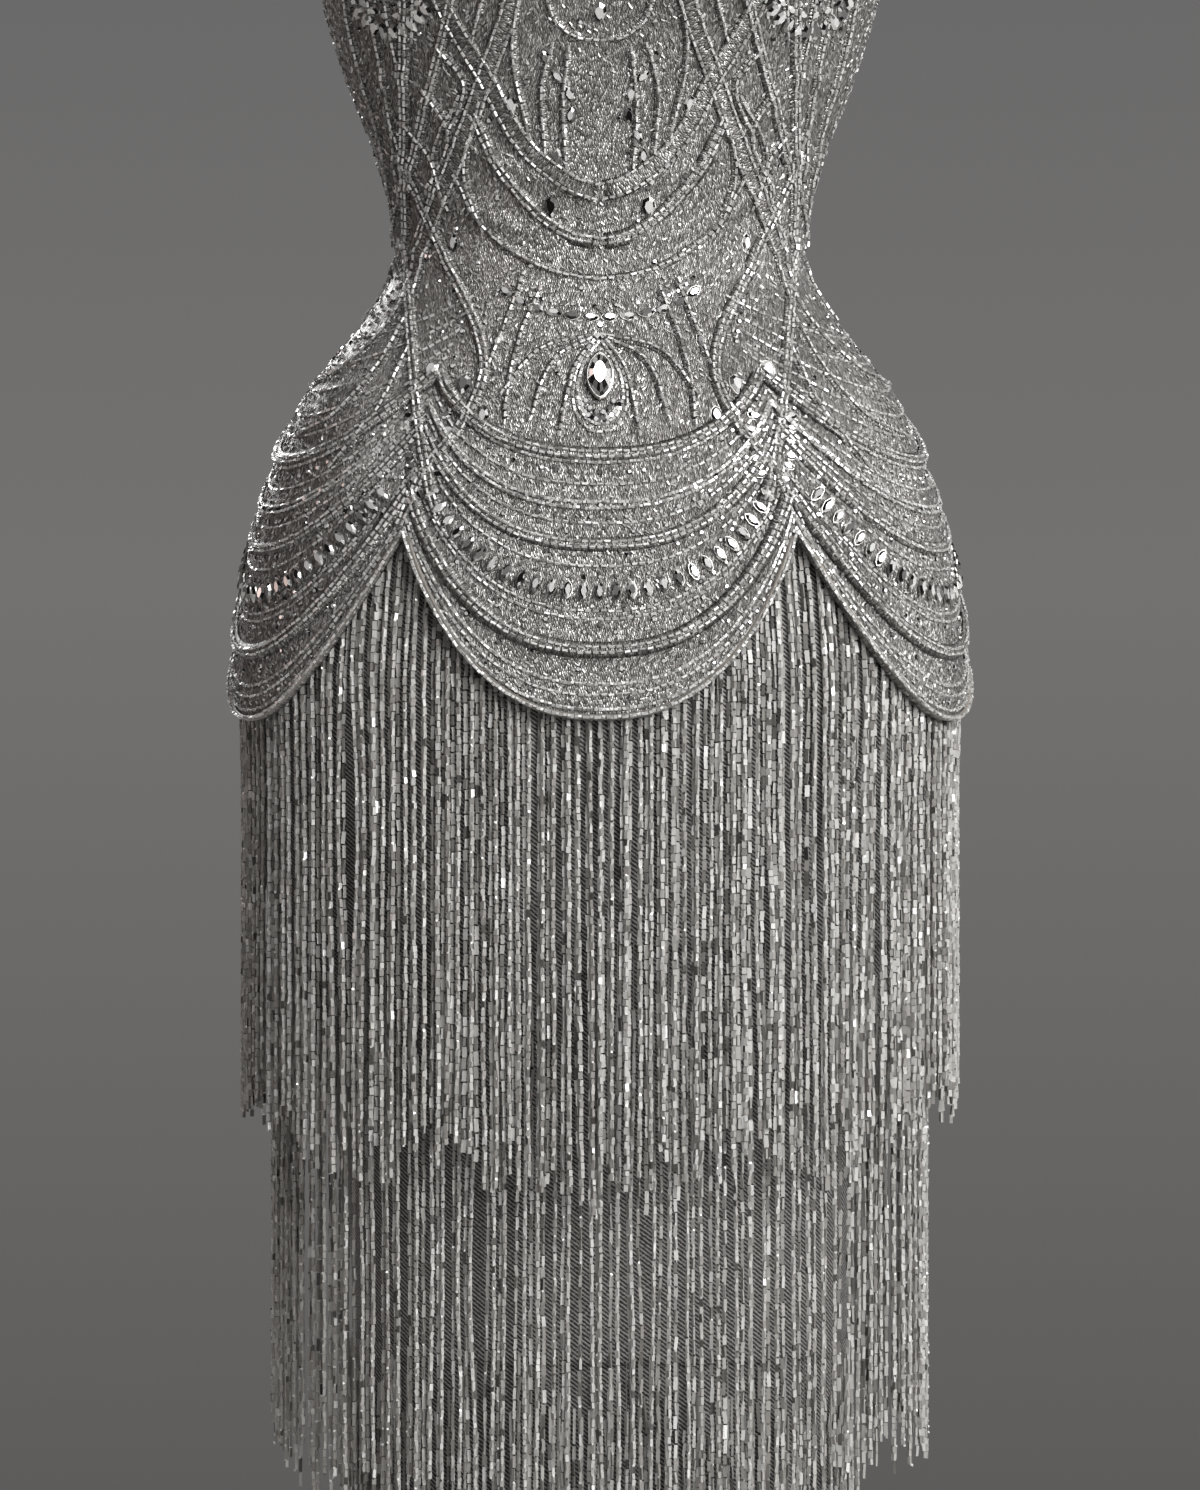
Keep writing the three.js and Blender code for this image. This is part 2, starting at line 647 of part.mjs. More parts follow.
// A cut stone with pointed ends.
function dropStone() {
  const up = skin(0, DROP.z + 1).sub(skin(0, DROP.z - 1)).normalize();
  const out = outward(0, DROP.z);
  const centre = place(0, DROP.z, DROP.off);
  const rings = DROP_RINGS.map(({ size, lift }) =>
    Array.from({ length: DROP.sides }, (_, i) => {
      const a = (2 * Math.PI * i) / DROP.sides;
      const x = (DROP.width / 2) * size * Math.sin(a) * Math.abs(Math.sin(a)) ** DROP.pointed;
      return new THREE.Vector3(x, 0, 0)
        .addScaledVector(up, (DROP.height / 2) * size * Math.cos(a))
        .addScaledVector(out, DROP.depth * lift)
        .add(centre);
    }),
  );
  const n = DROP.sides;
  const triangles = [];
  for (let i = 0; i < n; i++) {
    const j = (i + 1) % n;
    triangles.push([i, j, n + j], [i, n + j, n + i], [n + i, n + j, 2 * n + j], [n + i, 2 * n + j, 2 * n + i]);
    if (i > 1) triangles.push([0, i, i - 1], [2 * n, 2 * n + i - 1, 2 * n + i]);
  }
  return closed(rings.flat(), triangles);
}

add("drop_stone", dropStone(), GLASS);

export default gown;
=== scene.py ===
"""A fringe evening gown: a fitted tunic of beaded tulle with a scalloped hem, over a narrow twill skirt
hung with three tiers of bugle-bead fringe. It keeps its worn shape and is hollow.

Sizes are in millimetres up to the point where a mesh is made, and meshes are in metres. A place on the
gown is a turn (0 at the centre front, 90 at the +X side seam, 180 at the centre back) and a level z.
"""

import math

import bpy
import numpy as np
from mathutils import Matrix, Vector
from mathutils.kdtree import KDTree


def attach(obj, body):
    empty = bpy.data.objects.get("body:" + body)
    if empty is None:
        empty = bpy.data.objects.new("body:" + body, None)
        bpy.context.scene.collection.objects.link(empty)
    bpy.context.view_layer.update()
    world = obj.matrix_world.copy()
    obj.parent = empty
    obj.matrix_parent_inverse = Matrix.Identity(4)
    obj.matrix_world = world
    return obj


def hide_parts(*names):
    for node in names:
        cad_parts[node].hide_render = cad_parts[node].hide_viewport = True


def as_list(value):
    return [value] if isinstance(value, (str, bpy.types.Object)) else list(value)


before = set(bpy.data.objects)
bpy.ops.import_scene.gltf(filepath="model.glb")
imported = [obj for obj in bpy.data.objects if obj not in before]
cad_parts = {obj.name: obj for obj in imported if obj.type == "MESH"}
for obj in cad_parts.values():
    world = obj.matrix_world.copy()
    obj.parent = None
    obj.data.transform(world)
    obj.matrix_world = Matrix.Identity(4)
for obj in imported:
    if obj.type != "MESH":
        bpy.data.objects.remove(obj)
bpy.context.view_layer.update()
rng = np.random.default_rng(7)

MM = 0.001
UV_NAME = "cloth"
ACROSS_X = np.array([1.0, 0, 0])


def table(columns, rows):
    """Rows of a table, with their columns by name."""
    return [dict(zip(columns, row)) for row in rows]


# ---- Camera ----

# The view runs from just under the bust to just below the knees.
VIEW_MIDDLE_Z = -663.5
VIEW_HEIGHT = 789.7
CAMERA_DISTANCE = 3600
SENSOR = 36


def add_camera():
    data = bpy.data.cameras.new("camera")
    data.sensor_width = SENSOR
    data.lens = SENSOR * CAMERA_DISTANCE / VIEW_HEIGHT
    camera = bpy.data.objects.new("camera", data)
    camera.location = (0, -CAMERA_DISTANCE * MM, VIEW_MIDDLE_Z * MM)
    camera.rotation_euler = (math.pi / 2, 0, 0)
    bpy.context.scene.collection.objects.link(camera)
    bpy.context.scene.camera = camera


add_camera()

# ---- The gown's surface, as in the frame ----

WAIST_Z = -396
PEAK_Z = -555  # the points between the scallops
SCALLOP_DEPTH = 96
LOW_Z = PEAK_Z - SCALLOP_DEPTH
HIP_Z = -629
HEM_Z = -1110
UNDERSKIRT_TOP_Z = -500
ROUNDNESS = 2.2
CLOTH = 2
UNDERSKIRT_CLOTH = 1.5
UNDERSKIRT_OUT = -6.6
SEAM_GAP = 0.3
SEAM_X = 100

SECTION_COLUMNS = ("z", "half_width", "front", "back")
SECTIONS = np.array([
    (-120, 128, 74, 80),
    (-155, 142, 88, 86),
    (-195, 152, 104, 92),
    (-232, 155, 112, 94),
    (-268, 147.5, 108, 92),
    (-311, 134.5, 96, 88),
    (-353, 118.5, 87, 84),
    (WAIST_Z, 108.5, 82, 83),
    (-417, 110.5, 84, 86),
    (-438, 123.5, 91, 95),
    (-459, 140.5, 100, 108),
    (-481, 157, 109, 121),
    (-523, 174.5, 120, 139),
    (-565, 186, 126, 149),
    (HIP_Z, 193.7, 130, 154),
    (-660, 192.5, 129.5, 153),
    (-700, 189, 127, 148),
    (-769, 176.5, 119, 134),
    (-830, 157, 109, 118),
    (-890, 142, 102, 108),
    (-984, 137, 99, 103),
    (HEM_Z, 136, 98, 102),
])
CUP = {"x": 74, "z": -236, "across": 40, "up": 45, "depth": 20, "fade": 3}

# Scallops on the +X side, by their middle and half width in degrees. The back ones are a pair.
SCALLOPS = [(0, 31), (69.5, 38.5), (144, 36)]
SCALLOP_CURVE = 2.2
SWAG_RISE = 0.38
SWAGS = [(135, 1.5), (110, 1.5), (66, 2.2), (36, 1.5)]  # distance above the edge, height
SWAG_HALF_WIDTH = 6
BORDER = {"above": 14, "height": 0.8, "slope": 5}

# The raised garlands across the front, by their levels at the middle, the seams and the sides.
GARLANDS = [(-375, -316, -321), (-402, -358, -360), (-426, -402, -401)]
GARLAND_CURVE = 1.7
GARLAND_HEIGHT = 1.5
GARLAND_HALF_WIDTH = 7

FRONT_TOP = {"middle": -203, "strap": -157, "side": -195}
BACK_TOP = {"side": -195, "middle": -225}


def smooth_curve(stations, values, at):
    """A smooth curve that takes these values at rising stations. The values may be numbers or points."""
    slopes = np.empty_like(values)
    run = np.diff(stations).reshape([-1] + [1] * (values.ndim - 1))
    slopes[1:-1] = (values[2:] - values[:-2]) / (run[1:] + run[:-1])
    slopes[0] = (values[1] - values[0]) / run[0]
    slopes[-1] = (values[-1] - values[-2]) / run[-1]
    at = np.clip(at, stations[0], stations[-1])
    i = np.clip(np.searchsorted(stations, at, side="right") - 1, 0, len(stations) - 2)
    h = stations[i + 1] - stations[i]
    u = (at - stations[i]) / h
    if values.ndim > 1:
        h, u = h[..., None], u[..., None]
    return (
        values[i] * (1 + 2 * u) * (1 - u) ** 2
        + slopes[i] * h * u * (1 - u) ** 2
        + values[i + 1] * u * u * (3 - 2 * u)
        + slopes[i + 1] * h * u * u * (u - 1)
    )


def column(name, z):
    """One measure of the section at level z."""
    return smooth_curve(-SECTIONS[:, 0], SECTIONS[:, SECTION_COLUMNS.index(name)], -np.asarray(z, float))


def flattened(v):
    return np.sign(v) * np.abs(v) ** (2 / ROUNDNESS)


def skin(turn, z):
    """Points of the gown's surface, without its beadwork."""
    turn, z = np.broadcast_arrays(np.asarray(turn, float), np.asarray(z, float))
    s = flattened(np.sin(np.radians(turn)))
    c = flattened(np.cos(np.radians(turn)))
    x = column("half_width", z) * s
    depth = np.where(c > 0, column("front", z), column("back", z))
    cup = (np.abs(x) - CUP["x"]) / CUP["across"]
    rise = (z - CUP["z"]) / CUP["up"]
    pushed = CUP["depth"] * np.exp(-cup * cup - rise * rise) * np.clip(CUP["fade"] * c, 0, 1)
    return np.stack([x, -depth * c - pushed, z], axis=-1)


def unit(vectors):
    return vectors / np.linalg.norm(vectors, axis=-1, keepdims=True)


def outward(turn, z):
    """The direction straight out of the surface."""
    step = 1.5
    around = skin(turn + step, z) - skin(turn - step, z)
    up = skin(turn, z + step) - skin(turn, z - step)
    return unit(np.cross(around, up))


def upward(turn, z):
    """The direction up along the surface."""
    return unit(skin(turn, z + 1) - skin(turn, z - 1))


def place(turn, z, out):
    """Points this far out from the surface."""
    turn, z, out = np.broadcast_arrays(*(np.asarray(v, float) for v in (turn, z, out)))
    return skin(turn, z) + outward(turn, z) * out[..., None]


def turn_from_front(turn):
    """The turn without its side: 0 at the centre front and 180 at the centre back."""
    return np.abs((np.asarray(turn, float) + 180) % 360 - 180)


def turn_at_x(x, z):
    """The turn at which the front is x millimetres from the middle."""
    share = np.clip(np.abs(x) / column("half_width", z), 0, 1)
    return np.sign(x) * np.degrees(np.arcsin(share ** (ROUNDNESS / 2)))


def seam_turn(z, x=SEAM_X):
    """The turn of a princess seam. Below the points between the scallops it runs straight down."""
    return turn_at_x(x, np.maximum(z, PEAK_Z))


def across_scallop(turn):
    """How far across its scallop a turn lies: -1 and 1 at the points, 0 at the lowest place."""
    t = turn_from_front(turn)
    conditions = [t <= middle + half for middle, half in SCALLOPS[:-1]]
    values = [(t - middle) / half for middle, half in SCALLOPS]
    return np.select(conditions, values[:-1], values[-1])


def swag_z(across, above):
    """The level of a line that follows a scallop, this far above its edge."""
    curve = np.abs(across) ** SCALLOP_CURVE
    return LOW_Z + above + (SCALLOP_DEPTH - SWAG_RISE * above) * curve


def edge_z(turn):
    """The level of the scalloped edge."""
    return swag_z(across_scallop(turn), 0)


def mix(a, b, share):
    return a + (b - a) * share


def bump(v):
    """1 at v = 0, falling smoothly to 0 at v = -1 and v = 1."""
    return 0.5 + 0.5 * np.cos(np.pi * np.clip(v, -1, 1))


def relief(turn, z):
    """How far the beadwork stands out from the gown's surface."""
    turn, z = np.broadcast_arrays(np.asarray(turn, float), np.asarray(z, float))
    curve = np.abs(across_scallop(turn)) ** SCALLOP_CURVE
    above = (z - LOW_Z - SCALLOP_DEPTH * curve) / (1 - SWAG_RISE * curve)
    height = BORDER["height"] * np.clip((BORDER["above"] + BORDER["slope"] - above) / BORDER["slope"], 0, 1)
    for swag, swag_height in SWAGS:
        height = height + swag_height * bump((above - swag) / SWAG_HALF_WIDTH)
    seam = np.maximum(seam_turn(z), 1)
    front = np.abs(turn)
    inner = np.clip(front / seam, 0, 1) ** GARLAND_CURVE
    outer = np.clip((front - seam) / (90 - seam), 0, 1)
    for middle, at_seam, side in GARLANDS:
        level = np.where(front < seam, mix(middle, at_seam, inner), mix(at_seam, side, outer))
        fade = np.where(front < 90, 1 - outer, 0)
        height = height + GARLAND_HEIGHT * fade * bump((z - level) / GARLAND_HALF_WIDTH)
    return height


# ---- Pieces and their meshes ----


def belongs(piece, slot, *nodes):
    """A piece that is sewn to the gown, with the nodes that it stands for. Its finish, slot, is not used."""
    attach(piece, "gown")
    if nodes:
        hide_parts(*nodes)
    return piece


def surface_area(made):
    """Half the area of a closed wall, in square metres."""
    return sum(polygon.area for polygon in made.data.polygons) / 2


def new_object(name, points, corners, sizes, materials, material_index=None, smooth=True, uv=None):
    """A mesh object from points in millimetres and faces given by their corners and sizes."""
    mesh = bpy.data.meshes.new(name)
    corners = np.asarray(corners, np.int32).ravel()
    sizes = np.asarray(sizes, np.int32)
    starts = np.concatenate([[0], np.cumsum(sizes)[:-1]]).astype(np.int32)
    mesh.vertices.add(len(points))
    mesh.vertices.foreach_set("co", (np.asarray(points, np.float32) * MM).ravel())
    mesh.loops.add(len(corners))
    mesh.loops.foreach_set("vertex_index", corners)
    mesh.polygons.add(len(sizes))
    mesh.polygons.foreach_set("loop_start", starts)
    mesh.polygons.foreach_set("loop_total", sizes)
    mesh.polygons.foreach_set("use_smooth", np.full(len(sizes), smooth))
    for material in materials:
        mesh.materials.append(material)
    if material_index is not None:
        mesh.polygons.foreach_set("material_index", np.asarray(material_index, np.int32))
    if uv is not None:
        layer = mesh.uv_layers.new(name=UV_NAME)
        layer.data.foreach_set("uv", (np.asarray(uv, np.float32)[corners] * MM).ravel())
    mesh.update(calc_edges=True)
    mesh.validate()
    made = bpy.data.objects.new(name, mesh)
    bpy.context.scene.collection.objects.link(made)
    return made


def grid_faces(rows, columns, offset=0, flip=False, wrap=False):
    """Quads over a grid of points that is stored row by row."""
    across = columns if wrap else columns - 1
    r, c = np.meshgrid(np.arange(rows - 1), np.arange(across), indexing="ij")
    after = (c + 1) % columns
    a = r * columns + c
    b = r * columns + after
    quads = np.stack([a, a + columns, b + columns, b], axis=-1).reshape(-1, 4) + offset
    return quads[:, ::-1] if flip else quads


def wall_faces(rows, columns, wrap):
    """Quads that close the space between two matching grids, stored one after the other. Those of the
    first grid come first, then those of the second."""
    count = rows * columns
    c = np.arange(columns if wrap else columns - 1)
    after = (c + 1) % columns
    last = (rows - 1) * columns
    faces = [
        grid_faces(rows, columns, 0, False, wrap),
        grid_faces(rows, columns, count, True, wrap),
        np.stack([c, after, after + count, c + count], axis=-1),
        np.stack([c + last, c + last + count, after + last + count, after + last], axis=-1),
    ]
    if not wrap:
        r = np.arange(rows - 1) * columns
        faces.append(np.stack([r, r + count, r + columns + count, r + columns], axis=-1))
        faces.append(np.stack([r, r + columns, r + columns + count, r + count], axis=-1) + columns - 1)
    return np.concatenate(faces)


def walls(name, outer, inner, uv, materials, wrap=False):
    """A closed wall between an outer and an inner grid. A second material is for its inner face."""
    rows, columns = outer.shape[:2]
    faces = wall_faces(rows, columns, wrap)
    points = np.concatenate([outer.reshape(-1, 3), inner.reshape(-1, 3)])
    uvs = np.concatenate([uv.reshape(-1, 2)] * 2)
    one_side = (rows - 1) * (columns if wrap else columns - 1)
    number = np.arange(len(faces))
    inside = (number >= one_side) & (number < 2 * one_side)
    shades = inside * (len(materials) - 1)
    return new_object(name, points, faces, np.full(len(faces), 4), materials, shades, uv=uvs)


def tubes(name, runs, materials):
    """Closed tubes as one mesh. Each is given by its rings of points and their UVs."""
    points, uvs, corners, sizes, offset = [], [], [], [], 0
    for rings, uv in runs:
        levels, sides = rings.shape[:2]
        quads = grid_faces(levels, sides, offset, True, True)
        first = np.arange(sides) + offset
        last = (first + (levels - 1) * sides)[::-1]
        corners += [quads.ravel(), first, last]
        sizes += [4] * len(quads) + [sides] * 2
        points.append(rings.reshape(-1, 3))
        uvs.append(uv.reshape(-1, 2))
        offset += levels * sides
    points, uvs = np.concatenate(points), np.concatenate(uvs)
    return new_object(name, points, np.concatenate(corners), sizes, materials, uv=uvs)


def grid_uv(points):
    """UV coordinates of a grid: distance along its rows from the middle column, and level."""
    steps = np.linalg.norm(np.diff(points, axis=1), axis=-1)
    along = np.concatenate([np.zeros((len(points), 1)), np.cumsum(steps, axis=1)], axis=1)
    along -= along[:, [along.shape[1] // 2]]
    return np.stack([along, points[..., 2]], axis=-1)


class Beads:
    """Many small beads or stones that become one mesh. Each face may take its own shade, drawn at random:
    the bright and dark faces are painted glints and painted shade, standing for the reflections of cut
    glass.
    """

    def __init__(self):
        self.points = []
        self.corners = []
        self.sizes = []
        self.shades = []
        self.middles = []
        self.count = 0

    def lay(self, rings, shades):
        """Closed solids through rings of points: an array of solid, ring, corner and coordinate. The shades
        are those of the faces above each ring, from the lowest up, and then of the two ends."""
        n, levels, sides = rings.shape[:3]
        start = self.count + np.arange(n)[:, None] * levels * sides
        i = np.arange(sides)
        j = (i + 1) % sides
        faces = np.stack([i, j, sides + j, sides + i], axis=-1).ravel()
        corners = [faces + level * sides for level in range(levels - 1)]
        corners += [i[::-1], (levels - 1) * sides + i]
        self.points.append(rings.reshape(-1, 3))
        self.corners.append((start + np.concatenate(corners)).ravel())
        self.sizes.append(np.tile([4] * sides * (levels - 1) + [sides] * 2, n))
        self.shades.append(shades.ravel())
        self.middles.append(rings.mean(axis=(1, 2)))
        self.count += n * levels * sides

    def add(self, centres, along, side, length, radius, sides=5, shades=(0,), chance=None, spin=None):
        """Prisms at these centres. side is roughly across each, and shades are material numbers."""
        centres = np.asarray(centres, float).reshape(-1, 3)
        n = len(centres)
        if not n:
            return
        along = unit(np.broadcast_to(along, (n, 3)))
        across = unit(np.cross(along, np.broadcast_to(side, (n, 3))))
        third = np.cross(along, across)
        half = (np.broadcast_to(length, n) / 2)[:, None, None] * along[:, None]
        spin = rng.uniform(0, 2 * math.pi, n) if spin is None else spin
        spin = spin[:, None] + np.arange(sides) * 2 * math.pi / sides
        r = np.broadcast_to(radius, n)[:, None, None]
        ring = r * (np.cos(spin)[..., None] * across[:, None] + np.sin(spin)[..., None] * third[:, None])
        ring = centres[:, None] + ring
        # Each face draws its own shade: painted glints and painted shade on the facets.
        self.lay(np.stack([ring - half, ring + half], axis=1), rng.choice(shades, n * (sides + 2), p=chance))

    def add_rings(self, rings, level_shades):
        """Solids through rings. level_shades gives the chances of each material for the faces above each
        ring, from the lowest up. The lowest end is hidden."""
        n, _, sides = rings.shape[:3]
        faces = [rng.choice(len(chance), (n, sides), p=chance) for chance in level_shades[:-1]]
        faces.append(np.zeros((n, 1), int))
        faces.append(rng.choice(len(level_shades[-1]), (n, 1), p=level_shades[-1]))
        self.lay(rings, np.concatenate(faces, axis=1))

    def build(self, name, materials, smooth=False):
        return new_object(
            name,
            np.concatenate(self.points),
            np.concatenate(self.corners),
            np.concatenate(self.sizes),
            materials,
            np.concatenate(self.shades),
            smooth,
        )


# ---- Materials ----


def linear(hex_colour):
    """An sRGB hex colour as linear RGBA."""
    value = hex_colour.lstrip("#")
    channels = [int(value[k : k + 2], 16) / 255 for k in (0, 2, 4)]
    return [c / 12.92 if c <= 0.04045 else ((c + 0.055) / 1.055) ** 2.4 for c in channels] + [1]


def node(tree, kind, settings=None, stops=(), **inputs):
    """Adds a node with its settings. An input is a value or another node's output. The stops of a colour
    ramp are pairs of position and hex colour."""
    made = tree.nodes.new(kind)
    for key, value in (settings or {}).items():
        setattr(made, key, value)
    if stops:
        elements = made.color_ramp.elements
        while len(elements) < len(stops):
            elements.new(0.5)
        for element, (position, colour) in zip(elements, stops):
            element.position = position
            element.color = linear(colour)
    for key, value in inputs.items():
        socket = made.inputs[int(key[1:]) if key[0] == "i" and key[1:].isdigit() else key.replace("_", " ")]
        if isinstance(value, bpy.types.NodeSocket):
            tree.links.new(value, socket)
        else:
            socket.default_value = value
    return made


def new_material(name):
    material = bpy.data.materials.new(name)
    material.use_nodes = True
    material.node_tree.nodes.clear()
    return material, material.node_tree


def finished(material, **surface):
    """Gives a material its shader. A value is a constant on the shader's own socket or a node's output."""
    shader = node(material.node_tree, "ShaderNodeBsdfPrincipled", **surface)
    node(material.node_tree, "ShaderNodeOutputMaterial", Surface=shader.outputs["BSDF"])
    return material


def plain_material(name, colour, **surface):
    return finished(new_material(name)[0], Base_Color=linear(colour), **surface)


def silver_lined_glass(name, colour, roughness, metallic, coat=0.3):
    """Silver-lined glass bugle, drawn and cut: a mirror inside smoke-grey glass, so it glints like metal
    and goes dark where nothing bright is opposite."""
    gloss = {"Metallic": metallic, "Roughness": roughness, "Coat_Weight": coat, "Coat_Roughness": 0.08}
    return plain_material(name, colour, **gloss)


def nylon_thread():
    """Twisted nylon beading thread, waxed: it shows between beads as a dull grey line."""
    return plain_material("nylon_thread", "#8f8d89", Roughness=0.55)


def plated_setting():
    """Pressed brass stone settings, nickel plated: small bright rims with dark hollows."""
    return plain_material("plated_setting", "#a8a6a2", Metallic=1, Roughness=0.28)


def foiled_crystal(name, colour, metallic):
    """Cut crystal with a foil back: each facet is a small sharp mirror. A bright, a grey and a near-black
    copy are laid facet by facet, which paints in the white light that some facets send back and the dark
    that others show.
    """
    gloss = {"Metallic": metallic, "Roughness": 0.08, "Coat_Weight": 0.6, "Coat_Roughness": 0.02}
    return plain_material(name, colour, **gloss)


def plated_zinc():
    """Die-cast zinc, nickel plated: bright, with the soft edges of a casting."""
    material, tree = new_material("plated_zinc")
    coordinates = node(tree, "ShaderNodeTexCoord").outputs["Object"]
    grain = node(tree, "ShaderNodeTexNoise", Vector=coordinates, Scale=900, Detail=3).outputs["Fac"]
    shades = [(0.35, "#8b8985"), (0.65, "#a9a7a3")]
    worn = node(tree, "ShaderNodeValToRGB", stops=shades, Fac=grain).outputs["Color"]
    return finished(material, Base_Color=worn, Metallic=1, Roughness=0.3)


BUMP_DEPTH = 0.5 * MM
FINE_BUMP_DEPTH = 0.2 * MM


def bands(spacing):
    """The scale of a wave texture whose bands lie this many millimetres apart, over metres."""
    return 2 * math.pi / (20 * spacing * MM)


def beaded_tulle():
    """Nylon tulle on a net lining, sewn all over with short cut beads that lie in slanting rows. Each
    bead is 0.9 mm across and 2.2 mm long, and their shades run at random from dark grey to near white:
    partly the beads' own tones, partly painted glints and painted shade, as if some caught the light while
    their neighbours don't. The plum-grey lining shows faintly where the beads are thinnest."""
    material, tree = new_material("beaded_tulle")
    flat = {"noise_dimensions": "2D"}
    bead_size = (1 / (0.9 * MM), 1 / (2.2 * MM), 1)
    slants = (0.72, -0.8)  # radians
    uv = node(tree, "ShaderNodeUVMap", {"uv_map": UV_NAME}).outputs["UV"]
    wobble = node(tree, "ShaderNodeTexNoise", flat, Vector=uv, Scale=45, Detail=2).outputs["Color"]
    patch = node(tree, "ShaderNodeTexNoise", flat, Vector=uv, Scale=38, Detail=0).outputs["Fac"]
    layers = []
    for slant in slants:
        turned = node(tree, "ShaderNodeMapping", Vector=uv, Rotation=(0, 0, slant), Scale=bead_size)
        added = {"blend_type": "LINEAR_LIGHT"}
        rows = turned.outputs["Vector"]
        bent = node(tree, "ShaderNodeMixRGB", added, Fac=0.6, Color1=rows, Color2=wobble).outputs["Color"]
        cells = {"voronoi_dimensions": "2D"}
        layers.append(node(tree, "ShaderNodeTexVoronoi", cells, Vector=bent, Scale=1, Randomness=0.7))
    chosen = node(tree, "ShaderNodeMath", {"operation": "GREATER_THAN"}, i0=patch, i1=0.5).outputs[0]
    distances = {"i2": layers[0].outputs["Distance"], "i3": layers[1].outputs["Distance"]}
    distance = node(tree, "ShaderNodeMix", {"data_type": "FLOAT"}, i0=chosen, **distances).outputs[0]
    tints = {"Color1": layers[0].outputs["Color"], "Color2": layers[1].outputs["Color"]}
    tint = node(tree, "ShaderNodeMixRGB", Fac=chosen, **tints).outputs["Color"]
    # Each bead cell takes a random shade from dark grey to near white: partly the beads' own tones, partly
    # painted glints and painted shade.
    lot = node(tree, "ShaderNodeSeparateColor", Color=tint).outputs["Red"]
    shades = [(0.0, "#575552"), (0.5, "#7b7976"), (0.8, "#989693"), (1.0, "#cecdcb")]
    bead = node(tree, "ShaderNodeValToRGB", stops=shades, Fac=lot).outputs["Color"]
    place_in_gown = node(tree, "ShaderNodeTexCoord").outputs["Object"]
    thin = node(tree, "ShaderNodeTexNoise", Vector=place_in_gown, Scale=9, Detail=2).outputs["Fac"]
    under = [(0.4, "#716f6c"), (0.6, "#584848")]
    lining = node(tree, "ShaderNodeValToRGB", stops=under, Fac=thin).outputs["Color"]
    # Between the bead cells, the lining's colour is multiplied into the beads' own, which is darker than
    # either: partly the net showing through, partly painted shade in the hollows between the beads.
    gap = node(tree, "ShaderNodeMapRange", Value=distance, i1=0.3, i2=0.78, i3=0, i4=1).outputs[0]
    net = node(tree, "ShaderNodeMixRGB", Fac=gap, Color1=(1, 1, 1, 1), Color2=lining).outputs["Color"]
    multiplied = {"blend_type": "MULTIPLY"}
    colour = node(tree, "ShaderNodeMixRGB", multiplied, Fac=1, Color1=bead, Color2=net).outputs["Color"]
    dull = node(tree, "ShaderNodeMapRange", Value=lot, i1=0, i2=1, i3=0.55, i4=0.25).outputs[0]
    lift = node(tree, "ShaderNodeMapRange", Value=distance, i1=0.15, i2=0.8, i3=1, i4=0).outputs[0]
    raised = node(tree, "ShaderNodeBump", Strength=0.8, Distance=BUMP_DEPTH, Height=lift).outputs["Normal"]
    return finished(material, Base_Color=colour, Roughness=dull, Normal=raised, Metallic=0.45)


def diagonal_twill(name, dark, light, rib):
    """Twill, woven of matt polyester for the skirt and of cotton for the zip's tape: slanting ribs with a
    grainy, slightly crushed face. rib is their spacing."""
    material, tree = new_material(name)
    uv = node(tree, "ShaderNodeUVMap", {"uv_map": UV_NAME}).outputs["UV"]
    slanted = node(tree, "ShaderNodeMapping", Vector=uv, Rotation=(0, 0, 0.65)).outputs["Vector"]
    kind = {"wave_type": "BANDS", "bands_direction": "Y"}
    crushed = {"Distortion": 1.2, "Detail": 2, "Detail_Scale": 3}
    ribs = node(tree, "ShaderNodeTexWave", kind, Vector=slanted, Scale=bands(rib), **crushed).outputs["Fac"]
    grain = node(tree, "ShaderNodeTexNoise", Vector=uv, Scale=1 / (1.6 * MM), Detail=3, Roughness=0.7)
    mixed = {"operation": "MULTIPLY_ADD"}
    both = node(tree, "ShaderNodeMath", mixed, i0=ribs, i1=0.42, i2=grain.outputs["Fac"]).outputs[0]
    shades = [(0.56, dark), (0.94, light)]
    colour = node(tree, "ShaderNodeValToRGB", stops=shades, Fac=both).outputs["Color"]
    raised = node(tree, "ShaderNodeBump", Strength=0.6, Distance=BUMP_DEPTH, Height=both).outputs["Normal"]
    matt = {"Roughness": 0.7, "Specular_IOR_Level": 0.3, "Sheen_Weight": 0.1}
    return finished(material, Base_Color=colour, Normal=raised, **matt)


def bias_satin():
    """Polyester satin cut on the bias and rolled: smooth, with a soft band of sheen and fine floats."""
    material, tree = new_material("bias_satin")
    coordinates = node(tree, "ShaderNodeTexCoord").outputs["Object"]
    floats = node(tree, "ShaderNodeTexNoise", Vector=coordinates, Scale=700, Detail=3).outputs["Fac"]
    shade = node(tree, "ShaderNodeTexNoise", Vector=coordinates, Scale=12, Detail=2).outputs["Fac"]
    mixed = node(tree, "ShaderNodeMath", {"operation": "MULTIPLY_ADD"}, i0=floats, i1=0.3, i2=shade)
    shades = [(0.45, "#4f4a45"), (0.85, "#7b756d")]
    colour = node(tree, "ShaderNodeValToRGB", stops=shades, Fac=mixed.outputs[0]).outputs["Color"]
    raised = node(tree, "ShaderNodeBump", Strength=0.25, Distance=FINE_BUMP_DEPTH, Height=floats)
    sheen = {"Roughness": 0.38, "Sheen_Weight": 0.3}
    return finished(material, Base_Color=colour, Normal=raised.outputs["Normal"], **sheen)


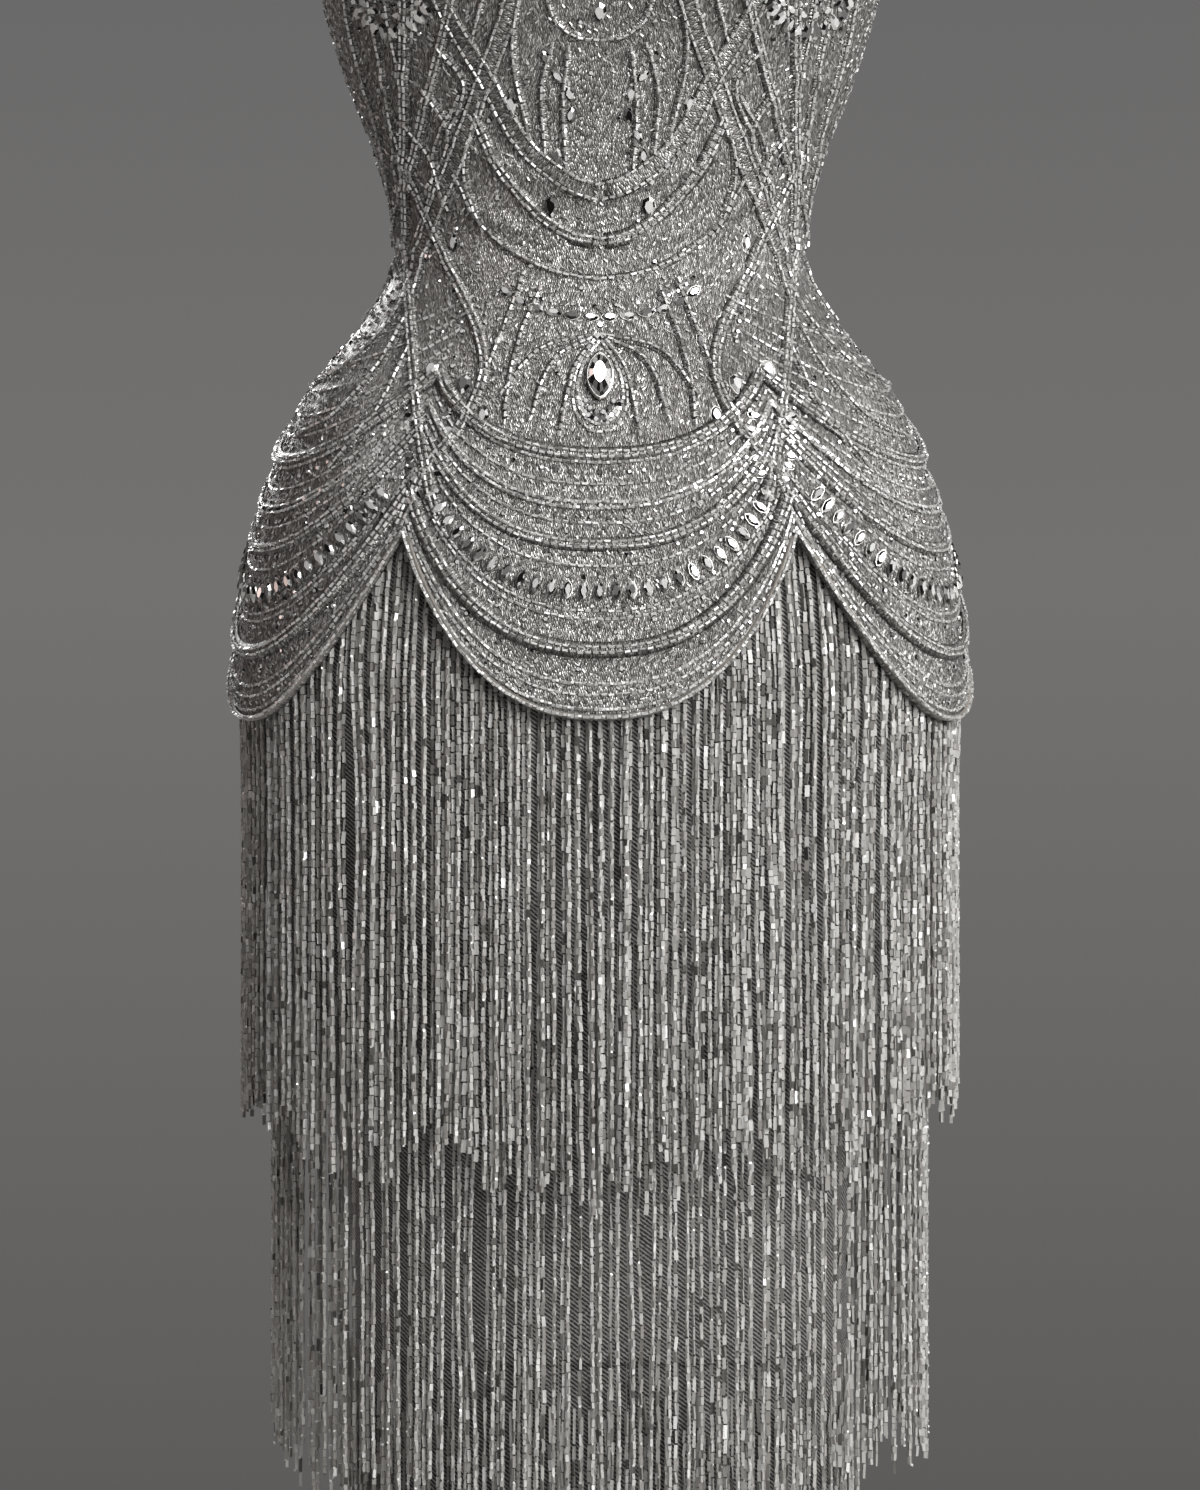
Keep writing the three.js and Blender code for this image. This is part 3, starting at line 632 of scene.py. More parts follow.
def plain_lining():
    """Polyester lining taffeta, plain woven and calendered: a fine even weave with a faint sheen. Its
    threads are drawn 0.9 mm apart, coarser than they are, so that they show."""
    material, tree = new_material("lining_taffeta")
    uv = node(tree, "ShaderNodeUVMap", {"uv_map": UV_NAME}).outputs["UV"]
    threads = []
    for direction in ("X", "Y"):
        kind = {"wave_type": "BANDS", "bands_direction": direction}
        wave = node(tree, "ShaderNodeTexWave", kind, Vector=uv, Scale=bands(0.9))
        threads.append(wave.outputs["Fac"])
    crossed = {"operation": "MULTIPLY"}
    weave = node(tree, "ShaderNodeMath", crossed, i0=threads[0], i1=threads[1]).outputs[0]
    # A broad noise makes the lining lighter and darker in soft patches.
    blotches = node(tree, "ShaderNodeTexNoise", Vector=uv, Scale=30, Detail=3).outputs["Fac"]
    worn = node(tree, "ShaderNodeMath", {"operation": "MULTIPLY_ADD"}, i0=weave, i1=0.25, i2=blotches)
    shades = [(0.35, "#4d4644"), (0.85, "#6e6663")]
    colour = node(tree, "ShaderNodeValToRGB", stops=shades, Fac=worn.outputs[0]).outputs["Color"]
    raised = node(tree, "ShaderNodeBump", Strength=0.4, Distance=FINE_BUMP_DEPTH, Height=weave)
    sheen = {"Roughness": 0.5, "Sheen_Weight": 0.25}
    return finished(material, Base_Color=colour, Normal=raised.outputs["Normal"], **sheen)


TULLE = beaded_tulle()
LINING = plain_lining()
# The skirt's twill runs from near black to mid grey: partly its own dark tone, partly painted shade for the
# gaps between the fringe strands, where it shows.
TWILL = diagonal_twill("diagonal_twill", "#1f1d1c", "#959290", 1.8)
TAPE = diagonal_twill("cotton_tape", "#4a4744", "#6f6c67", 1.2)
SATIN = bias_satin()
ZINC = plated_zinc()
THREAD = nylon_thread()
# Three shades of silver-lined bugle. Drawn face by face at random, they give the beads their own differing
# tones and also paint glints and shade onto the facets.
BUGLES = [
    silver_lined_glass("silver_lined_bright", "#c9c8c6", 0.36, 0.35, 0.15),
    silver_lined_glass("silver_lined_grey", "#a3a29f", 0.38, 0.35, 0.2),
    silver_lined_glass("silver_lined_smoke", "#7a7976", 0.4, 0.35, 0.2),
]
STONES = [
    foiled_crystal("crystal_bright", "#d8d7d5", 0.4),
    foiled_crystal("crystal_grey", "#8f8e8c", 0.7),
    foiled_crystal("crystal_dark", "#1f1e1d", 0.8),
    plated_setting(),
]
# The chances of bright, grey and dark: below the girdle, on the crown's facets, and on the table.
# They are painted reflections: the table is mostly bright, a painted highlight, and the faces below the
# girdle are mostly dark, painted shade.
STONE_MIX = [[0.1, 0.3, 0.6], [0.3, 0.35, 0.35], [0.6, 0.3, 0.1]]
SMALL_STONE_MIX = [[0.1, 0.4, 0.5], [0.2, 0.5, 0.3], [0.5, 0.4, 0.1]]
SETTING_MIX = [[0, 0, 0, 1]] * 3
BUGLE_MIX = [0.25, 0.5, 0.25]
ROW_MIX = [0.6, 0.3, 0.1]
# The strung beads are rubbed duller than the sewn ones. On a face here and there, the bright copy is a
# painted glint and the dark copy a painted dark reflection.
STRUNG = [
    silver_lined_glass("strung_bright", "#d9d8d6", 0.27, 0.4),
    silver_lined_glass("strung_clear", "#a3a29f", 0.5, 0.15, 0.08),
    silver_lined_glass("strung_grey", "#969490", 0.55, 0.15, 0.08),
    silver_lined_glass("strung_smoke", "#7e7b77", 0.55, 0.15, 0.08),
    silver_lined_glass("strung_dark", "#484643", 0.4, 0.3, 0.15),
]
STRUNG_LOTS = [0.4, 0.4, 0.2]

# ---- Tunic panels ----

SIDE_TURN = 90
SIDE_GAP_TURN = 0.1
BACK_GAP_TURN = 0.08


def across_front(s):
    return 2 * s - 1


def front_top(share):
    """The level of the neckline, from its middle at 0 to the strap at 1."""
    return mix(FRONT_TOP["middle"], FRONT_TOP["strap"], share**1.5)


def side_top(share):
    """The level of the top edge under the arm, from the strap at 0 to the side seam at 1."""
    return mix(FRONT_TOP["strap"], FRONT_TOP["side"], share**0.7)


# Each panel's turn and top edge at a share of its way across, and how wide it lies when worn.
PANELS = {
    "middle_front": {
        "turn": lambda s, z: across_front(s) * seam_turn(z, SEAM_X - SEAM_GAP / 2),
        "top": lambda s: front_top(np.abs(across_front(s))),
        "width": 210,
    },
    "side_front": {
        "turn": lambda s, z: mix(seam_turn(z, SEAM_X + SEAM_GAP / 2), SIDE_TURN - SIDE_GAP_TURN, s),
        "top": side_top,
        "width": 130,
    },
    "back": {
        "turn": lambda s, z: mix(SIDE_TURN + SIDE_GAP_TURN, 180 - BACK_GAP_TURN, s) + 0 * z,
        "top": lambda s: mix(BACK_TOP["side"], BACK_TOP["middle"], s),
        "width": 250,
    },
}
TUNIC_NODES = [
    ("middle_front", "middle_front", 1),
    ("side_front_left", "side_front", 1),
    ("side_front_right", "side_front", -1),
    ("back_left", "back", 1),
    ("back_right", "back", -1),
]
GRID_STEP = {"across": 6.4, "down": 4.2}
PANEL_HEIGHT = 450


def panel_grid(panel, side):
    """Turns and levels of a grid over a panel, from its top edge down to its scalloped edge."""
    columns = int(panel["width"] / GRID_STEP["across"]) + 1
    rows = int(PANEL_HEIGHT / GRID_STEP["down"]) + 1
    s = np.linspace(0, 1, columns)
    v = np.linspace(0, 1, rows)[:, None]
    low = edge_z(panel["turn"](s, np.full(columns, PEAK_Z)))
    z = mix(panel["top"](s), low, v)
    return side * panel["turn"](s[None] + 0 * v, z), z


def tunic_panel(node_name, kind, side):
    turn, z = panel_grid(PANELS[kind], side)
    if side < 0:
        turn, z = turn[:, ::-1], z[:, ::-1]
    outer = place(turn, z, relief(turn, z))
    inner = place(turn, z, -CLOTH)
    made = walls(node_name + "_cloth", outer, inner, grid_uv(outer), [TULLE, LINING])
    return belongs(made, "beaded_tulle", node_name)


tunic = {name: tunic_panel(name, kind, side) for name, kind, side in TUNIC_NODES}

# ---- Piping along the scallops ----

PIPING = {"width": 3.2, "height": 2.0, "lift": 0.6, "set_in": 0.2, "wall": 0.05, "step": 2.5}


def piping(node_name, kind, side):
    panel = PANELS[kind]
    end = 0.0005
    s = np.linspace(end, 1 - end, int(panel["width"] / PIPING["step"]))
    shift = 4 * end

    def edge(at):
        turn = side * panel["turn"](at, np.full(at.shape, PEAK_Z))
        return place(turn, edge_z(turn), BORDER["height"])

    turn = side * panel["turn"](s, np.full(s.shape, PEAK_Z))
    out = outward(turn, edge_z(turn))
    along = edge(s + shift) - edge(s - shift)
    into = unit(np.cross(along, out))
    into *= np.where(into[:, 2:] < 0, -1, 1)
    arc = np.linspace(0, math.pi, 6)
    inward = mix(PIPING["set_in"], PIPING["width"], 0.5 - 0.5 * np.cos(arc))
    height = mix(PIPING["lift"], PIPING["height"], np.sin(arc) ** 0.8)
    base = edge(s)[None] + into[None] * inward[:, None, None]
    outer = base + out[None] * height[:, None, None]
    inner = base + out[None] * (PIPING["lift"] - PIPING["wall"])
    if side < 0:
        outer, inner = outer[:, ::-1], inner[:, ::-1]
    outer, inner = outer[::-1], inner[::-1]
    made = walls(node_name + "_piping_roll", outer, inner, grid_uv(outer), [SATIN])
    belongs(made, "satin", node_name + "_piping")


for name, kind, side in TUNIC_NODES:
    piping(name, kind, side)

# ---- Rows of beads and stones on the tunic ----

BUGLE = {"length": 2.8, "gap": 1.1, "radius": 0.78}
SEED = {"length": 1.7, "gap": 0.3, "radius": 0.95}
ROW_LIFT = 0.5  # the middle of a bead, from the cloth
PIPING_LIFT = 2.2  # the same for the beads on the piping
ROW_REACH = 108  # lines that stay within this turn have beads with more sides
UNEVEN = {"place": 0.12, "direction": 0.05}
SCALLOP_RING = SCALLOPS + [(360 - middle, half) for middle, half in SCALLOPS[:0:-1]]


def on_cloth(turn, z, lift):
    return place(turn, z, relief(turn, z) + lift)


def spaced(turn, z, pitch, lift=0.0, aside=0.0):
    """Places this far apart along a line on the cloth, with the directions along it and outward."""
    line = on_cloth(turn, z, lift)
    steps = np.linalg.norm(np.diff(line, axis=0), axis=-1)
    travelled = np.concatenate([[0], np.cumsum(steps)])
    count = max(int(travelled[-1] / pitch), 1)
    at = (np.arange(count) + 0.5) * travelled[-1] / count

    def reached(at):
        return np.interp(at, travelled, turn), np.interp(at, travelled, z)

    step = 0.6
    along = unit(on_cloth(*reached(at + step), lift) - on_cloth(*reached(at - step), lift))
    out = outward(*reached(at))
    return on_cloth(*reached(at), lift) + np.cross(along, out) * aside, along, out


def bead_row(beads, turn, z, bead, aside=0.0, lift=ROW_LIFT):
    pitch = bead["length"] + bead["gap"]
    centres, along, out = spaced(turn, z, pitch, lift, aside)
    centres = centres + rng.normal(0, UNEVEN["place"], centres.shape)
    along = along + rng.normal(0, UNEVEN["direction"], along.shape)
    sides = 4 if np.abs(turn).max() <= ROW_REACH else 3
    beads.add(centres, along, out, bead["length"], bead["radius"], sides, (0, 1, 2), ROW_MIX)


# Cords and bands of folded tulle under the beads raise the lines from the ground. The profile runs
# from edge to edge: distance from the middle and height, as shares.
CORD_PROFILE = [(-1, 0), (-0.5, 0.6), (0, 1), (0.5, 0.6), (1, 0)]
BAND_PROFILE = [(-1, 0), (-0.8, 1), (0, 0.85), (0.8, 1), (1, 0)]
CORD = {"profile": CORD_PROFILE, "width": 5.5, "height": 1.4, "rows": [0], "row_lift": 1.4}
WIDE_CORD = {"profile": CORD_PROFILE, "width": 8.5, "height": 1.9, "rows": [-1.45, 1.45], "row_lift": 1.4}
BAND = {"profile": BAND_PROFILE, "width": 11, "height": 1.5, "rows": [-3.9, 3.9], "row_lift": 1.4}
RIDGE = {"step": 4.6, "sunk": 0.3, "fewest": 4, "taper": 5}


def raised_line(lines, ridges, turn, z, kind):
    """A line of folded tulle with its rows of beads, fading into the cloth at its two ends."""
    centres, along, out = spaced(turn, z, RIDGE["step"])
    if len(centres) < RIDGE["fewest"]:
        return
    taper = np.clip(np.sin(np.pi * np.linspace(0, 1, len(centres))) * RIDGE["taper"], 0, 1)[:, None]
    v, height = np.array(kind["profile"]).T
    off = v * kind["width"] / 2
    rise = height * kind["height"] * taper - RIDGE["sunk"]
    rings = centres[:, None] + np.cross(along, out)[:, None] * off[:, None] + out[:, None] * rise[..., None]
    run = np.arange(len(centres))[:, None] * RIDGE["step"]
    ridges.append((rings, np.stack(np.broadcast_arrays(run, off), axis=-1)))
    for row in kind["rows"]:
        bead_row(lines, turn, z, BUGLE, row, kind["row_lift"] + ROW_LIFT)


# Stones by cut: how the outline narrows towards its ends, and how far the wide place is off the middle.
CUTS = {"round": (1.0, 0.0), "navette": (1.5, 0.0), "pear": (1.2, 0.4)}
STONE_SIDES = 8
STONE = {"height": 0.42, "sunk": 0.3, "tip": 0.1}  # height as a share of the width
LEAST_IN_SETTING = 4.2  # the width from which a stone has a setting
STONE_LEVELS = [(0.8, 0.0), (1.0, 0.4), (0.62, 1.0)]  # width and height of its rings, as shares
SETTING_LEVELS = [(1.14, 0.0), (1.1, 0.3), (0.9, 0.32)]


def stone_rings(centres, along, out, cut, length, width, height, levels):
    narrowing, shift = CUTS[cut]
    first = 0.5 if cut == "round" else 0
    angle = (np.arange(STONE_SIDES) + first) * 2 * math.pi / STONE_SIDES
    lengthwise = np.cos(angle) * length / 2
    crosswise = np.sign(np.sin(angle)) * np.abs(np.sin(angle)) ** narrowing * width / 2
    crosswise = crosswise * (1 - shift * np.cos(angle))
    across = unit(np.cross(out, along))
    rings = [
        centres[:, None]
        + share * (lengthwise[:, None] * along[:, None] + crosswise[:, None] * across[:, None])
        + out[:, None] * level * height
        for share, level in levels
    ]
    return np.stack(rings, axis=1)


def add_stones(stones, centres, along, out, cut, length, width):
    """Set stones. They are tipped a little, each its own way. The small ones have no setting."""
    if not len(centres):
        return
    out = unit(out + rng.normal(0, STONE["tip"], out.shape))
    along = unit(along - out * np.sum(along * out, axis=-1, keepdims=True))
    base = centres - out * STONE["sunk"]
    shape = (cut, length, width, STONE["height"] * width)
    large = width > LEAST_IN_SETTING
    chances = STONE_MIX if large else SMALL_STONE_MIX
    stones.add_rings(stone_rings(base, along, out, *shape, STONE_LEVELS), chances)
    if large:
        stones.add_rings(stone_rings(base, along, out, *shape, SETTING_LEVELS), SETTING_MIX)


def stone_row(stones, turn, z, pitch, cut, length, width, upright=False):
    """Stones along a line, or standing across it."""
    centres, along, out = spaced(turn, z, pitch)
    if upright:
        along = np.cross(out, along)
    add_stones(stones, centres, along, out, cut, length, width)


# Rows that follow the scallops, by their distance above the edge.
SEED_ROWS = [1.8, 5.8, 18.5, 108.6, 111.6, 132.2]
BUGLE_ROWS = [13, 52, 56, 79, 101, 121]
RAISED_ROWS = [36, 90, 136]
SIDE_BUGLE_ROWS = [149, 160, 173, 187, 201]  # on the side and back scallops alone
ROUND_ROWS = table(("above", "pitch", "size"), [
    (9.4, 7, 2.4), (26, 21, 3.2), (31, 17, 2.4), (45, 15, 2.8), (49, 26, 3.4),
    (84.5, 13, 3), (96, 17, 2.6), (104, 9, 3), (110, 12, 3), (127, 7.5, 3),
])
# The row of large stones on the front scallop and on the others, with a row of small ones on each side.
LARGE_ROW_ABOVE = 66  # above the edge
LARGE_ROW = {"pitch": 8.2, "length": 9, "width": 4.7}
SIDE_LARGE_ROW = {"pitch": 8, "length": 9.5, "width": 5}
FLANKING = {"apart": 7.5, "size": 2.8}
REACH = {"round": 0.94, "large": 0.88, "flanking": 0.9}  # shares of the half scallop that the rows cover


def swag_path(middle, half, above, reach=1.0):
    across = np.linspace(-reach, reach, 160)
    return middle + half * across, swag_z(across, above)


def swag_rows(lines, ridges, stones):
    for number, (middle, half) in enumerate(SCALLOP_RING):
        for above in SEED_ROWS:
            lift = PIPING_LIFT if above < PIPING["width"] else ROW_LIFT
            bead_row(lines, *swag_path(middle, half, above), SEED, 0, lift)
        for above in BUGLE_ROWS + (SIDE_BUGLE_ROWS if number else []):
            bead_row(lines, *swag_path(middle, half, above), BUGLE)
        for above in RAISED_ROWS:
            raised_line(lines, ridges, *swag_path(middle, half, above), WIDE_CORD)
        for row in ROUND_ROWS:
            path = swag_path(middle, half, row["above"], REACH["round"])
            stone_row(stones, *path, row["pitch"], "round", row["size"], row["size"])
        row = SIDE_LARGE_ROW if number else LARGE_ROW
        path = swag_path(middle, half, LARGE_ROW_ABOVE, REACH["large"])
        stone_row(stones, *path, row["pitch"], "navette", row["length"], row["width"], upright=True)
        for apart in (FLANKING["apart"], -FLANKING["apart"]):
            path = swag_path(middle, half, LARGE_ROW_ABOVE + apart, REACH["flanking"])
            stone_row(stones, *path, row["pitch"], "round", FLANKING["size"], FLANKING["size"])


# Lines on the front, drawn for the +X side as (x, z) places and mirrored. They are worked on the back too.
CROSS = (59, -318)
LENS = (89, -521)
BAND_LINES = [
    [(33, -206), (45, -278), CROSS, (74, -358), (88, -392), (100, -430)],
    [(97, -190), (84, -272), CROSS, (38, -354), (14, -373), (0, -377)],
]
DOUBLE_LINES = [
    [(101, -250), (102, -330), (101, -400), (98, -450), (94, -490), LENS, (83, -546)],
    [(101, -362), (86, -396), (73, -426), (62, -452), (60, -474), (72, -500), LENS, (103, -551)],
    [(66, -336), (52, -364), (32, -388), (14, -400), (0, -403)],
    [(62, -204), (70, -252), (82, -300), (93, -340), (100, -372)],
]
SINGLE_LINES = [
    [(24, -206), (29, -262), (24, -288), (12, -298), (0, -300)],
    [(76, -366), (60, -394), (38, -412), (16, -421), (0, -423)],
    [(38, -418), (48, -444), (57, -468)],
    [(30, -426), (40, -450), (47, -478), (49, -500)],
    [(16, -302), (19, -335), (17, -366)],
    [(38, -262), (45, -304), (36, -350)],
    [(24, -300), (30, -325), (28, -358)],
    [(44, -204), (56, -262), (66, -300)],
    [(62, -330), (70, -366), (60, -398)],
    [(72, -326), (86, -356), (78, -386)],
    [(101, -340), (86, -364), (95, -398)],
    [(84, -302), (70, -322), (80, -350)],
    [(92, -322), (78, -346), (90, -376)],
    [(0, -452), (13, -470), (21, -506)],
    [(0, -452), (24, -466), (36, -498)],
    [(0, -452), (31, -460), (51, -484)],
    [(112, -204), (112, -268), (104, -316)],
    [(126, -204), (121, -268), (110, -330), (104, -380)],
    [(138, -230), (130, -290), (114, -350), (107, -396)],
    [(88, -206), (94, -250), (97, -300)],
    [(112, -330), (103, -360), (110, -400)],
    [(98, -424), (114, -448), (134, -466), (152, -474)],
    [(99, -438), (116, -468), (138, -492), (160, -502)],
    [(99, -458), (116, -492), (140, -520)],
    [(104, -404), (117, -424), (132, -440)],
]
BUST_SWAG = [(79, -262), (90, -284), (106, -293), (121, -287), (134, -268)]
STONE_CHAINS = [
    ([(30, -304), (24, -316), (17, -324), (15, -338), (21, -352), (23, -364)], "navette", 10, 8.5, 5, False),
    ([(27, -304), (20, -318), (12, -328), (10, -344), (16, -360)], "round", 6.2, 2.4, 2.4, False),
    ([(52, -426), (38, -436), (20, -441), (0, -443)], "navette", 9.6, 8.5, 5, False),
    ([(50, -420), (38, -430), (20, -435), (0, -437)], "round", 5.4, 2.8, 2.8, False),
    ([(84, -528), (78, -506), (80, -490)], "navette", 7, 7.5, 4.4, True),
    ([(94, -530), (99, -508), (98, -490)], "navette", 7, 7.5, 4.4, True),
    ([(104, -330), (108, -372), (110, -402)], "round", 6.5, 3, 3, False),
    ([(78, -216), (88, -232), (102, -240), (116, -234), (127, -214)], "navette", 9, 9, 5, False),
    ([(84, -404), (74, -434), (70, -458)], "round", 6.5, 3.2, 3.2, False),
    ([(118, -440), (134, -454), (150, -462)], "round", 7, 3, 3, False),
]
BUST_ROWS = [  # distance above the swag, then cut, pitch, length, width and upright
    (0, "pear", 6.6, 10, 6, True),
    (8, "navette", 8, 7, 4.4, False),
    (13, "round", 4.6, 3.2, 3.2, False),
    (-8, "round", 6.6, 2.8, 2.8, False),
]
STONE_CHAINS += [([(x, z + above) for x, z in BUST_SWAG], *row) for above, *row in BUST_ROWS]
STONE_CHAINS = table(("places", "cut", "pitch", "length", "width", "upright"), STONE_CHAINS)
SINGLE_STONES = table(("cut", "length", "width", "x", "z"), [
    ("pear", 11, 7, 25, -385),
    ("pear", 11, 7, 70, -478),
    ("pear", 11, 7, 87, -470),
    ("navette", 10, 5, 76, -402),
    ("navette", 10, 6, 46, -332),
    ("navette", 10, 6, 60, -494),
    ("pear", 11, 7, 0, -286),
    ("pear", 9, 6, 0, -273),
    ("round", 4.4, 4.4, 0, -447),
    ("navette", 9, 5, 52, -455),
])


def smooth_line(places, mirrored, behind):
    places = np.array(places, float)
    steps = np.linalg.norm(np.diff(places, axis=0), axis=-1)
    stations = np.concatenate([[0], np.cumsum(steps)])
    x, z = smooth_curve(stations, places, np.linspace(0, stations[-1], 120)).T
    turn = turn_at_x(-x if mirrored else x, z)
    return (180 - turn if behind else turn), z


STRAP_SEAM_Z = -160.0  # where the princess seams meet the top edge


def top_edge(turn):
    """The level of the tunic's top edge."""
    t = turn_from_front(turn)
    seam = seam_turn(np.full(t.shape, STRAP_SEAM_Z))
    front = front_top(np.clip(t / seam, 0, 1))
    side = side_top(np.clip((t - seam) / (SIDE_TURN - seam), 0, 1))
    back = mix(BACK_TOP["side"], BACK_TOP["middle"], (t - SIDE_TURN) / (180 - SIDE_TURN))
    return np.select([t < seam, t < SIDE_TURN], [front, side], back)


NECK_CLEAR = 4
ZIP_CLEAR_TURN = 1.2


def placed_line(places):
    """The same line on each side, in front and behind, kept below the neckline and clear of the zip."""
    for behind in (False, True):
        for mirrored in (False, True):
            turn, z = smooth_line(places, mirrored, behind)
            from_zip = np.abs((turn + 360) % 360 - 180)
            inside = (z < top_edge(turn) - NECK_CLEAR) & (from_zip > ZIP_CLEAR_TURN)
            if inside.sum() > 1:
                yield turn[inside], z[inside]


def front_lines(lines, ridges, stones):
    for group, kind in ((BAND_LINES, BAND), (DOUBLE_LINES, WIDE_CORD), (SINGLE_LINES, CORD)):
        for places in group:
            for turn, z in placed_line(places):
                raised_line(lines, ridges, turn, z, kind)
    for chain in STONE_CHAINS:
        shape = [chain[key] for key in ("pitch", "cut", "length", "width", "upright")]
        for turn, z in placed_line(chain["places"]):
            stone_row(stones, turn, z, *shape)
    for stone in SINGLE_STONES:
        x, z = stone["x"], np.array([float(stone["z"])])
        for across in {x, -x}:
            for behind in (False, True) if x else (False,):
                turn = turn_at_x(across, z)
                turn = 180 - turn if behind else turn
                shape = [stone[key] for key in ("cut", "length", "width")]
                add_stones(stones, on_cloth(turn, z, 0), -upward(turn, z), outward(turn, z), *shape)


# The drop at the middle of the front: one large stone in a rim, a frame of beads round it, and a bed of
# small round stones under its point.
DROP = {"z": -474, "width": 13, "height": 25, "depth": 6, "off": 0.7, "sides": 14, "pointed": 0.4}
DROP_LEVELS = [(0.85, 0), (1, 0.35), (0.86, 0.62), (0.5, 1)]
RIM_LEVELS = [(1.13, -0.05), (1.13, 0.28), (1.03, 0.32)]
# The frame's rows share one outline, each drawn at its own size. It is open at the top.
FRAME = {"z": -477, "half_width": 17, "half_height": 26, "narrow": 0.35, "open": 0.12}
FRAME_ROWS = [(1.0, BUGLE), (0.84, SEED)]
BED = {"z": -483, "size": 3.9, "spread": 1.15, "squeeze": 0.8}
BED_RINGS = [(9.8, 6), (13.6, 13)]  # radius, number of stones


def drop_rings(levels):
    up, out = upward(0, DROP["z"]), outward(0, DROP["z"])
    centre = place(0, DROP["z"], DROP["off"])
    a = 2 * math.pi * np.arange(DROP["sides"]) / DROP["sides"]
    across = DROP["width"] / 2 * np.sin(a) * np.abs(np.sin(a)) ** DROP["pointed"]
    rings = [
        centre
        + (share * across)[:, None] * ACROSS_X
        + (share * DROP["height"] / 2 * np.cos(a))[:, None] * up
        + out * DROP["depth"] * level
        for share, level in levels
    ]
    return np.stack(rings)[None, :, ::-1]


def drop(lines, stones):
    made = Beads()
    # The drop's table facet is always the bright crystal: a painted highlight.
    painted_highlight_table = [1, 0, 0]
    made.add_rings(drop_rings(DROP_LEVELS), [STONE_MIX[0], STONE_MIX[1], STONE_MIX[1], painted_highlight_table])
    made.add_rings(drop_rings(RIM_LEVELS), SETTING_MIX)
    stone = belongs(made.build("drop_stone_cut", STONES), "cut_glass", "drop_stone")
    for grow, bead in FRAME_ROWS:
        a = np.linspace(FRAME["open"], 2 * math.pi - FRAME["open"], 90)
        x = FRAME["half_width"] * grow * np.sin(a) * np.sin(a / 2) ** (2 * FRAME["narrow"])
        z = FRAME["z"] + FRAME["half_height"] * grow * np.cos(a)
        bead_row(lines, turn_at_x(x, z), z, bead)
    for radius, count in BED_RINGS:
        a = np.linspace(-BED["spread"], BED["spread"], count)
        z = BED["z"] - radius * np.cos(a)
        turn = turn_at_x(BED["squeeze"] * radius * np.sin(a), z)
        along = np.broadcast_to(ACROSS_X, (count, 3))
        add_stones(stones, on_cloth(turn, z, 0), along, outward(turn, z), "round", BED["size"], BED["size"])
    return stone


# Small cut beads between the rows, lying in slanting rows that change direction from patch to patch, and
# single round stones.
SCATTER = {"front": 14000, "back": 8500}
SCATTER_BEAD = {"length": 2.2, "radius": 0.5, "lift": 0.35}
SLANT = {"lean": 0.8, "uneven": 0.25, "around": 0.13, "down": 0.05}  # radians, and how fast patches change
EDGE_CLEAR = {"top": 5, "low": 7}
LOWEST_SPANGLE_Z = LOW_Z + 6
SPANGLES = {"front": 640, "back": 420}
SPANGLE_SIZES = [2.0, 2.6, 3.3]
ROW_CLEAR = 1.9


def clear_of(middles, points, distance):
    """Which of these points are at least this far from all the middles."""
    tree = KDTree(len(middles))
    for number, middle in enumerate(middles):
        tree.insert(middle, number)
    tree.balance()
    return np.array([tree.find(point)[2] > distance for point in points])


def anywhere(count, middle, taken):
    """Random places on half the tunic, away from its edges and from what is already there."""
    turn = middle + rng.uniform(-90, 90, count)
    z = rng.uniform(LOWEST_SPANGLE_Z, FRONT_TOP["strap"], count)
    width = column("half_width", z) / SECTIONS[:, 1].max()
    inside = (z < top_edge(turn) - EDGE_CLEAR["top"]) & (z > edge_z(turn) + EDGE_CLEAR["low"])
    keep = inside & (rng.uniform(0, 1, count) < width)
    turn, z = turn[keep], z[keep]
    free = clear_of(taken, on_cloth(turn, z, SCATTER_BEAD["lift"]), ROW_CLEAR)
    return turn[free], z[free]


def scatter(beads, count, middle, taken):
    turn, z = anywhere(count, middle, taken)
    out, up = outward(turn, z), upward(turn, z)
    patch = np.sign(np.sin(turn * SLANT["around"] + z * SLANT["down"]))
    slant = SLANT["lean"] * patch + rng.normal(0, SLANT["uneven"], len(z))
    along = up * np.cos(slant)[:, None] + np.cross(up, out) * np.sin(slant)[:, None]
    centres = on_cloth(turn, z, SCATTER_BEAD["lift"])
    beads.add(centres, along, out, SCATTER_BEAD["length"], SCATTER_BEAD["radius"], 3, (0, 1, 2), BUGLE_MIX)


def spangles(stones, count, middle, taken):
    for size in SPANGLE_SIZES:
        turn, z = anywhere(count // len(SPANGLE_SIZES), middle, taken)
        add_stones(stones, on_cloth(turn, z, 0), upward(turn, z), outward(turn, z), "round", size, size)


NECK_ROWS = [(1.6, SEED), (5.2, BUGLE)]  # distance below the top edge, and the bead


def neckline(lines):
    turn = np.linspace(-179, 179, 900)
    for below, bead in NECK_ROWS:
        bead_row(lines, turn, top_edge(turn) - below, bead)


